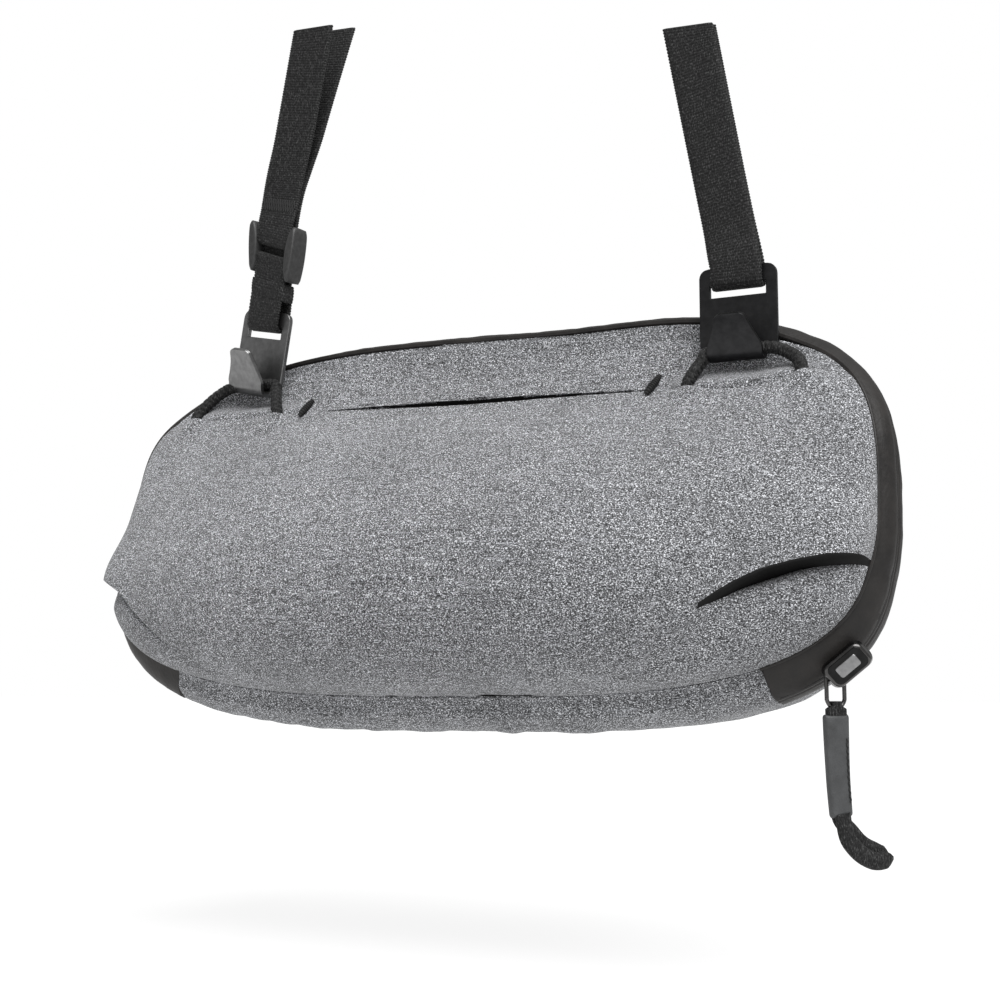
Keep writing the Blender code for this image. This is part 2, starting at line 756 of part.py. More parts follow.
def make_adjuster(material):
    """A tri-glide: two rails with a bar behind the webbing and two bars in front of it."""
    place = strap_local("left", ADJUSTER_LOW)
    outer, inner = ADJUSTER_WIDTH / 2, WEBBING_WIDTH / 2 + 0.5
    height, bar = ADJUSTER_HEIGHT, ADJUSTER_BAR
    solid = mesh_object(
        "strap_adjuster",
        placed(box_bmesh((-outer, -4.6, 0), (outer, 4.4, height)), place),
        material, ADJUSTER, tuple(place.translation),
    )
    add_bevel(solid, 1.2, 2)
    middle = height / 2
    cuts = {
        "adjuster_passage": ((-inner, -2.1, -1), (inner, 2.1, height + 1)),
        "adjuster_low_slot": ((-inner, -6, bar), (inner, 0, middle + 1.0)),
        "adjuster_high_slot": ((-inner, -6, middle + 3.0), (inner, 0, height - bar)),
        "adjuster_back_low": ((-inner, 0, -1), (inner, 6, middle - bar / 2)),
        "adjuster_back_high": ((-inner, 0, middle + bar / 2), (inner, 6, height + 1)),
    }
    for name, (low, high) in cuts.items():
        bm = placed(box_bmesh(low, high), place)
        cutter = mesh_object(name, bm, None, ADJUSTER, tuple(place.translation), CUTTERS)
        hide_helper(cutter)
        add_boolean(solid, cutter, "DIFFERENCE")
    return solid


def make_keeper(material):
    """The folded sleeve round both layers above the left hook."""
    place = strap_local("left", KEEPER_LOW)
    half = WEBBING_WIDTH / 2
    angles = ((-1, -1), (1, -1), (1, 1), (-1, 1))
    rows = []
    for z, depth in ((KEEPER_HEIGHT, 3.3), (0.0, 4.3)):
        row = [(sx * (half + 0.9), sy * depth, z) for sx, sy in angles]
        rows.append([tuple(place @ Vector(point)) for point in row])
    obj = mesh_object("webbing_keeper", grid_bmesh(rows, wrap=True), material, STRAP)
    add_solidify(obj, 0.9, offset=1.0)
    return obj


# ---------------------------------------------------------------- assembly

clear_scene()
PARTS = new_collection("camera_bag")
CUTTERS = new_collection("cutters")

GREY_FABRIC = new_material("grey_fabric", (0.17, 0.175, 0.185), 0.9)
BLACK_TAPE = new_material("coated_tape", (0.018, 0.016, 0.015), 0.45)
WEBBING = new_material("webbing", (0.016, 0.016, 0.017), 0.75)
CORD = new_material("cord", (0.014, 0.014, 0.015), 0.7)
THREAD = new_material("thread", (0.02, 0.02, 0.022), 0.8)
COIL = new_material("zip_coil", (0.015, 0.015, 0.015), 0.4)
HOOK_METAL = new_material("hook_metal", (0.045, 0.046, 0.048), 0.42, 1.0)
SLIDER_METAL = new_material("slider_metal", (0.06, 0.06, 0.062), 0.2, 1.0)
LEATHER = new_material("pull_leather", (0.05, 0.052, 0.055), 0.6)
PLASTIC = new_material("adjuster_plastic", (0.03, 0.03, 0.032), 0.5)
FOAM = new_material("foam", (0.08, 0.08, 0.085), 0.95)
LINING = new_material("lining", (0.22, 0.225, 0.24), 0.85)
MESH_FABRIC = new_material("mesh_fabric", (0.05, 0.05, 0.055), 0.8)

STRAP = new_empty("strap_frame", (0, 0, -HOOK_DROP))
FRONT = new_empty("bag_pivot", (0, 0, 0), STRAP, BAG_PITCH)
REAR_PIVOT = (0.0, HINGE_Y, HINGE_Z)
REAR = new_empty("rear_shell_pivot", REAR_PIVOT, FRONT)
arc_points = [zipper_line(SLIDER_ANGLE + step) for step in (-16.0, 0.0, 18.0)]
arc_x, arc_z = circle_centre(*[(p.x, p.z) for p in arc_points])
ARC_PIVOT = (arc_x, arc_points[1].y, arc_z)
SLIDER = new_empty("slider_pivot", ARC_PIVOT, FRONT)

make_front_panel(GREY_FABRIC)
make_upper_panel(GREY_FABRIC)
make_pocket_backing(LINING)
make_front_wall_pad(FOAM)
make_zip_flap(BLACK_TAPE)
make_gusset_front(GREY_FABRIC)
tube("zip_coil_front", coil_points(BAND_RUN - 1.0), COIL_RADIUS, COIL, FRONT, resolution=0)
make_zip_stop("zip_stop_right", -BAND_END_ANGLE, SLIDER_METAL)
make_zip_stop("zip_stop_left", 180 + BAND_END_ANGLE, SLIDER_METAL)
make_bar_tack("bar_tack_right", 73.5, -4.0, THREAD)
make_bar_tack("bar_tack_left", -73.5, 4.0, THREAD)
tube("cord_loop_right", cord_points(1), CORD_RADIUS, CORD, FRONT)
tube("cord_loop_left", cord_points(-1), CORD_RADIUS, CORD, FRONT)

make_zip_tape_rear(BLACK_TAPE)
make_gusset_rear(GREY_FABRIC)
rear_coil = coil_points(BAND_RUN + 1.6)
tube("zip_coil_rear", rear_coil, COIL_RADIUS, COIL, REAR, REAR_PIVOT, resolution=0)
make_rear_panel(GREY_FABRIC)
make_rear_foam(FOAM)
make_rear_lining(LINING)
make_mesh_pocket(MESH_FABRIC)
make_divider("divider_left", -DIVIDER_X, LINING)
make_divider("divider_right", DIVIDER_X, LINING)

slider_place = slider_frame()
make_slider_body(SLIDER_METAL, slider_place)
make_slider_cap(SLIDER_METAL, slider_place)
ring_in_bag = slider_place @ Vector(RING_PLACE)
ring_centre = Matrix.Rotation(math.radians(BAG_PITCH), 3, "X") @ ring_in_bag
RING = new_empty("ring_pivot", ring_centre, STRAP)
tube("pull_ring", ring_points(), RING_WIRE, SLIDER_METAL, RING, cyclic=True, resolution=1)
PULL = new_empty("pull_pivot", (0, 0, -RING_LENGTH - RING_HALF), RING)
sheath_top = -2.9
sheath = [(0, sheath_top), (0.6, sheath_top - SHEATH_LENGTH / 2), (1.8, sheath_top - SHEATH_LENGTH)]
ribbon("pull_sheath", pull_sections(sheath, SHEATH_WIDTH / 2), SHEATH_THICK, LEATHER, PULL)
loop = [(2.3, sheath_top - SHEATH_LENGTH - 2.2)]
for step in range(1, 7):
    loop.append((loop[0][0] + 17.0 * (step / 6) ** 1.3, loop[0][1] - 11.5 * (step / 6) ** 0.75))
ribbon("pull_loop", pull_sections(loop, 3.9), LOOP_THICK, WEBBING, PULL)
ribbon("pull_bail", bail_sections(), 1.0, WEBBING, PULL)

hook_pivots = {}
for name, side in (("hook_left", -1), ("hook_right", 1)):
    hook_pivots[name] = new_empty(name + "_pivot", (side * HOOK_X, PLATE_Y, HOOK_PIVOT_Z), STRAP)
    make_hook(name, side, HOOK_METAL, hook_pivots[name])
make_webbing("webbing_right", "right", WEBBING)
make_webbing("webbing_left", "left", WEBBING)
make_keeper(WEBBING)
ADJUSTER = new_empty("adjuster_pivot", strap_local("left", ADJUSTER_LOW).translation, STRAP)
make_adjuster(PLASTIC)
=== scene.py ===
"""Looks for a grey sling-style camera bag that hangs from two strap hooks.

Bag pieces are built in the bag's own space and strap pieces in the hang's space, both in
millimetres around the line of the hook seats, and are then placed in the frame in metres.
"""

import math

import bmesh
import bpy
import numpy as np
from mathutils import Matrix, Vector, kdtree, noise


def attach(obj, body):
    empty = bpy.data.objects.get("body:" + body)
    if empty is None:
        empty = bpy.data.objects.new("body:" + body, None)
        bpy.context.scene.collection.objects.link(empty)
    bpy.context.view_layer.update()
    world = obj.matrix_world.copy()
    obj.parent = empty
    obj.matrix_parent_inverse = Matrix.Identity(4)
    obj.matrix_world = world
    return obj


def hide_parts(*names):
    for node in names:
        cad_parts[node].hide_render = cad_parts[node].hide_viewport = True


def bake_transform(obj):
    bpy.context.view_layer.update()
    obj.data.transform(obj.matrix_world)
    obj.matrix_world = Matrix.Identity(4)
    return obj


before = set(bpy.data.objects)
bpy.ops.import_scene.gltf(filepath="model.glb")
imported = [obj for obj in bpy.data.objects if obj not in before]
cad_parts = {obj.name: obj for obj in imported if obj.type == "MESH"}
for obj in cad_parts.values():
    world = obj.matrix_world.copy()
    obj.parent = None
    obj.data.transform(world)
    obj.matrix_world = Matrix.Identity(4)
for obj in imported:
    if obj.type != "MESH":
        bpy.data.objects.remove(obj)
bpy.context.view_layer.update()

# The hang and the bag's outline, as in the frame.
HOOK_DROP = 134.0
HOOK_X = 101.5
BAG_PITCH = math.radians(-10.0)
STRAP_TOPS = {"right": (84.4, 124.3), "left": (-78.4, 154.5)}
HALF_WIDTH = 151.5
MIDDLE_Z = -62.0
TOP_RISE = 76.0
BOTTOM_DROP = 64.0
SQUARENESS = 3.2
SKEW = 0.026
TOP_LIFT = 3.4
CORNER_LIFT = 5.0
CORNER_TUCK = 5.0
SIDE_DEPTH = -10.0
TOP_LEAN = 17.0
BAND_RUN = 12.0
REAR_RUN = 22.0
BAND_END = 49.5
BULGE = 34.0
BULGE_PEAK_Z = -83.0
PANEL_BOTTOM_Z = -125.6
MOUTH_Z = -14.0
MOUTH_Y = -7.0
BACK_Y = 35.0
LINING_Y = 27.5
BAG_CENTRE = (0.0, 8.0, -62.0)
BACK_CENTRE = (0.0, 60.0, -62.0)

# Cords, hooks and straps.
CORD_ENDS = (86.5, 126.5)
CORD_RADIUS = 2.05
PLATE_Y = 3.2
PLATE_TOP = 30.0  # where the webbing leaves the plate and starts to lean
SLOT_LOW = 23.4
SLOT_Y = 2.9  # from the plate to each layer of webbing at the slot
RIB = 1.1  # pitch of the webbing's ribs
WEBBING_WIDTH = 19.0
WEBBING_THICK = 1.4
RIB_HEIGHT = 0.2
HOOK_TURN = math.radians(-14.0)
HOOK_ROLL = math.radians(12.0)
HOOK_PITCH = math.radians(4.0)
HOOK_RAISE = 4.2
HOOK_SHIFT = -2.2
TONGUE_REACH, TONGUE_HEIGHT, TONGUE_WIDTH = 0.95, 1.25, 1.06  # the left tongue beside the right one
KEEPER_AT = 39.2
GLIDE_AT = 43.8
STITCHES_AT = 74.0
FLOOR_Z = -0.352

IN_HANG = Matrix.Translation((0, 0, -HOOK_DROP / 1000)) @ Matrix.Scale(0.001, 4)
IN_BAG = IN_HANG @ Matrix.Rotation(BAG_PITCH, 4, "X")


# ---------------------------------------------------------------- numbers and meshes


def smooth(low, high, value):
    share = np.clip((np.asarray(value, float) - low) / (high - low), 0.0, 1.0)
    return share * share * (3 - 2 * share)


def spread(points, place):
    """Points in millimetres, placed in the frame in metres."""
    matrix = np.array(place)
    return np.asarray(points, float).reshape(-1, 3) @ matrix[:3, :3].T + matrix[:3, 3]


def unit(vectors):
    return vectors / np.maximum(np.linalg.norm(vectors, axis=-1, keepdims=True), 1e-9)


def headings(path):
    return unit(np.gradient(path, axis=0))


def rounded(value, power):
    """A sine or cosine bent towards a square's, with its sign kept."""
    return math.copysign(abs(value) ** power, value)


def linked(name, data):
    obj = bpy.data.objects.new(name, data)
    bpy.context.scene.collection.objects.link(obj)
    return obj


def plain_object(name, verts, faces, material, place):
    mesh = bpy.data.meshes.new(name)
    mesh.from_pydata([tuple(v) for v in spread(verts, place)], [], [tuple(f) for f in faces])
    if material:
        mesh.materials.append(material)
    return linked(name, mesh)


def face_out(mesh):
    """Turns the mesh's normals out."""
    bm = bmesh.new()
    bm.from_mesh(mesh)
    bmesh.ops.recalc_face_normals(bm, faces=bm.faces)
    if bm.calc_volume(signed=True) < 0:
        bmesh.ops.reverse_faces(bm, faces=bm.faces)
    bm.to_mesh(mesh)
    bm.free()
    mesh.shade_smooth()


def add_mesh(name, verts, faces, material, place, sharp=50.0):
    """A closed mesh whose normals are made to face out."""
    obj = plain_object(name, verts, faces, material, place)
    face_out(obj.data)
    obj.data.set_sharp_from_angle(angle=math.radians(sharp))
    return obj


def facing_out(grid, centre, wrap=False):
    """Normals of the grid that point away from the centre on average."""
    if wrap:
        along = np.roll(grid, -1, axis=1) - np.roll(grid, 1, axis=1)
    else:
        along = np.gradient(grid, axis=1)
    normals = unit(np.cross(np.gradient(grid, axis=0), along))
    away = np.sum(normals * (grid - np.asarray(centre)), axis=2)
    return normals if away.sum() > 0 else -normals


def quads(rows, columns, wrap, start=0):
    made = []
    last = columns if wrap else columns - 1
    for r in range(rows - 1):
        for c in range(last):
            d = (c + 1) % columns
            a = start + r * columns
            b = a + columns
            made.append((a + c, b + c, b + d, a + d))
    return made


def border(rows, columns):
    """Indices (row, column) round a grid's edge, with the step that points out of it."""
    made = [(0, c, -1, 0) for c in range(columns)]
    made += [(r, columns - 1, 0, 1) for r in range(1, rows - 1)]
    made += [(rows - 1, c, 1, 0) for c in range(columns - 1, -1, -1)]
    made += [(r, 0, 0, -1) for r in range(rows - 2, 0, -1)]
    return made


def sheet(name, grid, thickness, material, place, centre=BAG_CENTRE, wrap=False, round_rim=0.4,
          shaded=None):
    """A closed sheet with a rounded rim. The grid is its outer face; thickness may be a grid.
    Its outer faces marked in shaded take a near-black material instead of the material: painted shade for
    folds and slits that lie in shadow."""
    grid = np.asarray(grid, float)
    rows, columns, _ = grid.shape
    depth = np.broadcast_to(np.asarray(thickness, float), (rows, columns))[..., None]
    inner = grid - facing_out(grid, centre, wrap) * depth
    count = rows * columns
    verts = np.concatenate([grid.reshape(-1, 3), inner.reshape(-1, 3)])
    faces = quads(rows, columns, wrap) + [f[::-1] for f in quads(rows, columns, wrap, count)]
    if wrap:
        loops = [
            [(0, c, -1, 0) for c in range(columns)],
            [(rows - 1, c, 1, 0) for c in range(columns)],
        ]
    else:
        loops = [border(rows, columns)]
    for loop in loops:
        start = len(verts)
        rim = []
        for r, c, dr, dc in loop:
            back = grid[r - dr, (c - dc) % columns if wrap else c - dc]
            out = unit(grid[r, c] - back)
            rim.append((grid[r, c] + inner[r, c]) / 2 + out * depth[r, c] * round_rim)
        verts = np.concatenate([verts, np.array(rim)])
        for i, (r, c, _, _) in enumerate(loop):
            j = (i + 1) % len(loop)
            a, b = r * columns + c, loop[j][0] * columns + loop[j][1]
            faces.append((a, b, start + j, start + i))
            faces.append((start + i, start + j, count + b, count + a))
    obj = add_mesh(name, verts, faces, material, place)
    # The marked faces take the near-black painted shade.
    if shaded is not None:
        obj.data.materials.append(PAINTED_SHADE)
        for index in np.nonzero(shaded.reshape(-1))[0]:
            obj.data.polygons[int(index)].material_index = 1
    return obj


def capped(rows, columns):
    """Faces of a stack of closed rings, with both ends capped."""
    last = (rows - 1) * columns
    caps = [tuple(range(columns))[::-1], tuple(range(last, last + columns))]
    return quads(rows, columns, True) + caps


def loft(name, grid, material, place, sharp=50.0):
    """A closed form through a stack of closed rings."""
    grid = np.asarray(grid, float)
    faces = capped(grid.shape[0], grid.shape[1])
    return add_mesh(name, grid.reshape(-1, 3), faces, material, place, sharp)


def tube(name, points, radii, material, place, sides, cyclic=False, shape=None):
    """A tube along a path. shape(i, angle) gives a factor on the radius."""
    path = np.asarray(points, float)
    count = len(path)
    radii = np.broadcast_to(np.asarray(radii, float), (count,))
    ahead = unit(np.roll(path, -1, axis=0) - np.roll(path, 1, axis=0)) if cyclic else headings(path)
    side = Vector(ahead[0]).orthogonal().normalized()
    verts = []
    for i in range(count):
        forward = Vector(ahead[i])
        side = (side - forward * side.dot(forward)).normalized()
        up = forward.cross(side)
        for s in range(sides):
            angle = 2 * math.pi * s / sides
            reach = radii[i] * (shape(i, angle) if shape else 1.0)
            point = Vector(path[i]) + (side * math.cos(angle) + up * math.sin(angle)) * reach
            verts.append(tuple(point))
    faces = capped(count, sides)
    if cyclic:
        last = (count - 1) * sides
        joins = [(s, (s + 1) % sides) for s in range(sides)]
        faces = faces[:-2] + [(last + s, s, t, last + t) for s, t in joins]
    return add_mesh(name, verts, faces, material, place)


def resampled(points, step):
    """A smooth path through the points, as a Catmull-Rom curve cut to equal steps."""
    p = np.asarray(points, float)
    p = np.concatenate([[2 * p[0] - p[1]], p, [2 * p[-1] - p[-2]]])
    fine = []
    for i in range(1, len(p) - 2):
        for t in np.linspace(0, 1, 24, endpoint=False):
            fine.append(0.5 * (
                2 * p[i] + (p[i + 1] - p[i - 1]) * t
                + (2 * p[i - 1] - 5 * p[i] + 4 * p[i + 1] - p[i + 2]) * t**2
                + (3 * p[i] - p[i - 1] - 3 * p[i + 1] + p[i + 2]) * t**3
            ))
    fine.append(p[-2])
    fine = np.array(fine)
    along = np.concatenate([[0], np.cumsum(np.linalg.norm(np.diff(fine, axis=0), axis=1))])
    count = max(int(along[-1] / step), 2) + 1
    at = np.linspace(0, along[-1], count)
    return np.stack([np.interp(at, along, fine[:, k]) for k in range(fine.shape[1])], axis=1)


def wave_noise(points, size, seed):
    """Smooth noise between -1 and 1 at each point, with features of the given size."""
    shift = Vector((seed * 7.13, seed * 3.7, seed * 1.9))
    flat = np.asarray(points, float).reshape(-1, 3)
    made = [noise.noise(Vector(p) / size + shift) for p in flat]
    return np.array(made).reshape(np.asarray(points).shape[:-1])


def add_modifier(obj, kind, **settings):
    modifier = obj.modifiers.new(kind.lower(), kind)
    for key, value in settings.items():
        setattr(modifier, key, value)
    return modifier


def bake(obj):
    """Applies the object's modifiers to its mesh."""
    graph = bpy.context.evaluated_depsgraph_get()
    mesh = bpy.data.meshes.new_from_object(obj.evaluated_get(graph))
    obj.modifiers.clear()
    old = obj.data
    obj.data = mesh
    bpy.data.meshes.remove(old)
    return obj


CLOTH_VOXEL = 0.005
CLOTH_FRAMES = 20
CLOTH_PRESSURE = 4.0
CLOTH_REACH = 4.0


def swelling(verts, faces, pinned):
    """Blows the closed form up as cloth. Returns (points at rest, how far each one moved), in mm."""
    obj = add_mesh("cloth_form", verts, faces, None, Matrix.Scale(0.001, 4))
    add_modifier(obj, "REMESH", mode="VOXEL", voxel_size=CLOTH_VOXEL)
    bake(obj)
    rest = np.array([v.co for v in obj.data.vertices]) * 1000
    group = obj.vertex_groups.new(name="pin")
    for index in np.nonzero(pinned(rest))[0]:
        group.add([int(index)], 1.0, "REPLACE")
    cloth = obj.modifiers.new("cloth", "CLOTH")
    cloth.settings.quality = 5
    cloth.settings.mass = 0.3
    cloth.settings.tension_stiffness = 25
    cloth.settings.compression_stiffness = 25
    cloth.settings.bending_stiffness = 4
    cloth.settings.use_pressure = True
    cloth.settings.uniform_pressure_force = CLOTH_PRESSURE
    cloth.settings.effector_weights.gravity = 0
    cloth.settings.vertex_group_mass = "pin"
    cloth.point_cache.frame_start = 1
    cloth.point_cache.frame_end = CLOTH_FRAMES
    for step in range(1, CLOTH_FRAMES + 1):
        bpy.context.scene.frame_set(step)
    graph = bpy.context.evaluated_depsgraph_get()
    blown = obj.evaluated_get(graph).to_mesh()
    moved = np.array([v.co for v in blown.vertices]) * 1000 - rest
    bpy.context.scene.frame_set(1)
    bpy.data.objects.remove(obj, do_unlink=True)
    length = np.maximum(np.linalg.norm(moved, axis=1, keepdims=True), 1e-9)
    return rest, moved / length * CLOTH_REACH * np.tanh(length / CLOTH_REACH)


def swollen(grid, swell):
    """The grid moved by the nearest simulated points."""
    rest, moved = swell
    tree = kdtree.KDTree(len(rest))
    for i, point in enumerate(rest):
        tree.insert(point, i)
    tree.balance()
    flat = grid.reshape(-1, 3)
    made = np.empty_like(flat)
    for i, point in enumerate(flat):
        near = tree.find_n(point, 10)
        weights = np.array([1 / (distance + 2.0) ** 2 for _, _, distance in near])
        shifts = moved[[index for _, index, _ in near]]
        made[i] = point + (weights[:, None] * shifts).sum(0) / weights.sum()
    return made.reshape(grid.shape)


# ---------------------------------------------------------------- the bag's form


def skewed(x, y, z):
    """The hang's sideways lean, with the top lifted and the left end's upper corner drawn in."""
    height = (z - (MIDDLE_Z - BOTTOM_DROP)) / (TOP_RISE + BOTTOM_DROP)
    over_mouth = smooth(-14.0, 10.0, z)
    corner = 1 - smooth(20.0, 100.0, x) * over_mouth
    corner = corner * (1 - smooth(105.0, 135.0, x) * smooth(-55.0, -10.0, z))
    lift = CORNER_LIFT * (1 - corner) + TOP_LIFT * over_mouth
    tuck = smooth(-95.0, -140.0, x) * smooth(-90.0, -62.0, z) * smooth(-5.0, -42.0, z)
    high = z - SKEW * x * np.clip(height, 0.0, 1.1) + lift
    wide = 1.6 * smooth(95.0, 140.0, x) * smooth(-88.0, -66.0, z)
    return np.stack(np.broadcast_arrays(x + CORNER_TUCK * tuck + wide, y, high), axis=-1)


def seam_outline(angle):
    c, s = np.cos(angle), np.sin(angle)
    rise = np.where(s > 0, TOP_RISE, BOTTOM_DROP)
    power = 2 / SQUARENESS
    return HALF_WIDTH * np.sign(c) * np.abs(c) ** power, rise * np.sign(s) * np.abs(s) ** power


def seam_depth(angle):
    return SIDE_DEPTH + TOP_LEAN * smooth(0.1, 0.95, np.sin(angle))


def band_out(angle):
    return 7.0 + 3.0 * smooth(0.2, 1.0, -np.sin(angle)) - 2.7 * smooth(-0.5, 0.05, np.sin(angle))


def beside_seam(angle, outset, setback):
    x, z = seam_outline(angle)
    rise = np.where(z > 0, TOP_RISE, BOTTOM_DROP)
    nx = np.sign(x) * np.abs(x / HALF_WIDTH) ** (SQUARENESS - 1) / HALF_WIDTH
    nz = np.sign(z) * np.abs(z / rise) ** (SQUARENESS - 1) / rise
    length = np.hypot(nx, nz)
    return skewed(
        x + outset * nx / length, seam_depth(angle) + setback, z + MIDDLE_Z + outset * nz / length
    )


def seam_angles(first, last, count):
    dense = np.radians(np.linspace(first, last, 3000))
    x, z = seam_outline(dense)
    along = np.concatenate([[0.0], np.cumsum(np.hypot(np.diff(x), np.diff(z)))])
    return np.interp(np.linspace(0.0, along[-1], count), along, dense)


def half_width_at(z):
    rise = np.where(z > MIDDLE_Z, TOP_RISE, BOTTOM_DROP)
    share = np.minimum(np.abs(z - MIDDLE_Z) / rise, 1.0)
    return HALF_WIDTH * (1 - share**SQUARENESS) ** (1 / SQUARENESS)


def angle_at(z):
    rise = np.where(z > MIDDLE_Z, TOP_RISE, BOTTOM_DROP)
    share = np.minimum(np.abs(z - MIDDLE_Z) / rise, 1.0) ** (SQUARENESS / 2)
    return np.copysign(np.arcsin(share), z - MIDDLE_Z)


def bulge_share(across, z):
    climb = np.clip((z - BULGE_PEAK_Z) / (MOUTH_Z - BULGE_PEAK_Z), 0, 1)
    fall = np.clip((BULGE_PEAK_Z - z) / (BULGE_PEAK_Z - PANEL_BOTTOM_Z), 0, 1)
    upright = np.where(z > BULGE_PEAK_Z, 1 - climb**1.5, np.sqrt(np.maximum(1 - fall**2.2, 0)))
    sideways = (1 - np.minimum(np.abs(across), 1.0) ** 2.6) ** (1 / 1.8)
    return upright * sideways


def front_y(across, z):
    edge = seam_depth(angle_at(z))
    near_mouth = smooth(-60.0, MOUTH_Z, z)
    middle = edge + (MOUTH_Y - edge) * near_mouth
    blend = 1 - smooth(0.86, 1.0, np.abs(across))
    return edge + (middle - edge) * blend - BULGE * bulge_share(across, z)


# ---------------------------------------------------------------- materials


class Shader:
    """A Principled material whose nodes are added one by one."""

    def __init__(self, name, roughness=0.6, metallic=0.0, **constants):
        self.material = bpy.data.materials.new(name)
        self.material.use_nodes = True
        self.nodes = self.material.node_tree.nodes
        self.links = self.material.node_tree.links
        self.out = self.nodes["Principled BSDF"]
        self.out.inputs["Roughness"].default_value = roughness
        self.out.inputs["Metallic"].default_value = metallic
        for key, value in constants.items():
            self.out.inputs[key.replace("_", " ")].default_value = value
        self.where = self.nodes.new("ShaderNodeTexCoord").outputs["Object"]

    def add(self, kind, links=(), **settings):
        node = self.nodes.new(kind)
        for key, value in settings.items():
            setattr(node, key, value)
        for key, value in links:
            if isinstance(value, bpy.types.NodeSocket):
                self.links.new(value, node.inputs[key])
            else:
                node.inputs[key].default_value = value
        return node

    def stretched(self, scale, turn=(0, 0, 0)):
        node = self.add("ShaderNodeMapping", [("Vector", self.where), ("Scale", scale)])
        node.inputs["Rotation"].default_value = turn
        return node.outputs[0]

    def noise(self, scale, detail=2.0, rough=0.5, turn=(0, 0, 0)):
        if not isinstance(scale, tuple):
            scale = (scale,) * 3
        links = [("Vector", self.stretched(scale, turn)), ("Scale", 1.0)]
        links += [("Detail", detail), ("Roughness", rough)]
        return self.add("ShaderNodeTexNoise", links).outputs["Fac"]

    def bands(self, scale, direction):
        """Fine parallel ridges, as height between 0 and 1."""
        links = [("Vector", self.where), ("Scale", scale), ("Distortion", 0.0)]
        return self.add("ShaderNodeTexWave", links, bands_direction=direction).outputs["Fac"]

    def ramp(self, value, stops):
        node = self.add("ShaderNodeValToRGB", [("Fac", value)])
        elements = node.color_ramp.elements
        while len(elements) < len(stops):
            elements.new(0.5)
        for element, (at, colour) in zip(elements, stops):
            element.position = at
            element.color = (*colour, 1) if isinstance(colour, tuple) else (colour,) * 3 + (1,)
        return node.outputs["Color"]

    def mix(self, a, b, share, kind="MIX"):
        node = self.add("ShaderNodeMix", data_type="RGBA", blend_type=kind)
        for index, value in ((0, share), (6, a), (7, b)):
            if isinstance(value, bpy.types.NodeSocket):
                self.links.new(value, node.inputs[index])
            elif index:
                node.inputs[index].default_value = (*value, 1.0)
            else:
                node.inputs[index].default_value = value
        return node.outputs[2]

    def math(self, kind, a, b=0.0):
        return self.add("ShaderNodeMath", [(0, a), (1, b)], operation=kind).outputs[0]

    def colour(self, value):
        if isinstance(value, tuple):
            self.out.inputs["Base Color"].default_value = (*value, 1.0)
        else:
            self.links.new(value, self.out.inputs["Base Color"])
        return self

    def bump(self, height, distance, strength=1.0):
        node = self.add("ShaderNodeBump", [("Height", height), ("Strength", strength)])
        node.inputs["Distance"].default_value = distance
        self.links.new(node.outputs[0], self.out.inputs["Normal"])
        return self

    def rough(self, value, low, high):
        node = self.add("ShaderNodeMapRange", [("Value", value)])
        node.inputs["To Min"].default_value = low
        node.inputs["To Max"].default_value = high
        self.links.new(node.outputs[0], self.out.inputs["Roughness"])
        return self


def woven_grey(name):
    """Heathered weave: speckled mid grey with pale flecks and long slubs across the width."""
    s = Shader(name, 0.92, Sheen_Weight=0.2, Sheen_Roughness=0.5, Specular_IOR_Level=0.2)
    fleck = s.noise((1900, 2700, 2700), 2.0, 0.7)
    base = s.ramp(fleck, [
        (0.37, 0.012), (0.46, 0.08), (0.53, 0.185), (0.585, 0.4), (0.65, 0.95),
    ])
    slub = s.ramp(s.noise((70, 1500, 1500), 2.0, 0.6), [(0.56, 0.0), (0.7, 1.0)])
    streaked = s.mix(base, (0.46, 0.465, 0.48), s.math("MULTIPLY", slub, 0.35))
    dim = s.ramp(s.noise((45, 1100, 1100), 1.0), [(0.3, 0.7), (0.55, 1.0)])
    cloudy = s.ramp(s.noise(28, 3.0), [(0.3, 0.88), (0.7, 1.08)])
    toned = s.mix(s.mix(streaked, dim, 0.6, "MULTIPLY"), cloudy, 1.0, "MULTIPLY")
    cool = s.mix(toned, (0.97, 0.985, 1.03), 1.0, "MULTIPLY")
    height = s.math("ADD", fleck, s.math("MULTIPLY", s.bands(620.0, "Z"), 0.35))
    height = s.math("ADD", height, s.math("MULTIPLY", s.bands(620.0, "X"), 0.25))
    return s.colour(cool).bump(height, 0.0005, 0.65).material


def coated_black(name):
    """Smooth coated tape with a faint brown cast and scuffed sheen."""
    s = Shader(name, 0.5, Specular_IOR_Level=0.35, Coat_Weight=0.03)
    cloud = s.noise(90, 4.0, 0.6)
    s.colour(s.ramp(cloud, [(0.3, (0.005, 0.0043, 0.004)), (0.75, (0.019, 0.0165, 0.0148))]))
    height = s.math("ADD", s.noise(700, 2.0), s.math("MULTIPLY", s.noise(160, 2.0), 2.0))
    return s.rough(cloud, 0.4, 0.66).bump(height, 0.0003, 0.5).material


def ribbed_black(name, light=1.0):
    s = Shader(name, 0.66, Sheen_Weight=0.06, Sheen_Roughness=0.4, Specular_IOR_Level=0.22)
    weave = s.noise((2600, 2600, 900), 1.5, 0.6)
    stops = [(0.36, 0.003 * light), (0.55, 0.012 * light), (0.72, 0.06 * light)]
    return s.colour(s.ramp(weave, stops)).bump(weave, 0.0003, 0.7).material


def dark_metal(name, colour, roughness, grain=0.15):
    s = Shader(name, roughness, 1.0)
    mottle = s.noise(350, 4.0, 0.6)
    low = tuple(c * 0.8 for c in colour)
    high = tuple(c * 1.2 for c in colour)
    s.colour(s.ramp(mottle, [(0.3, low), (0.7, high)]))
    s.rough(s.noise(60, 3.0), roughness - 0.06, roughness + 0.08)
    return s.bump(s.noise(2400, 2.0), 0.00005, grain).material


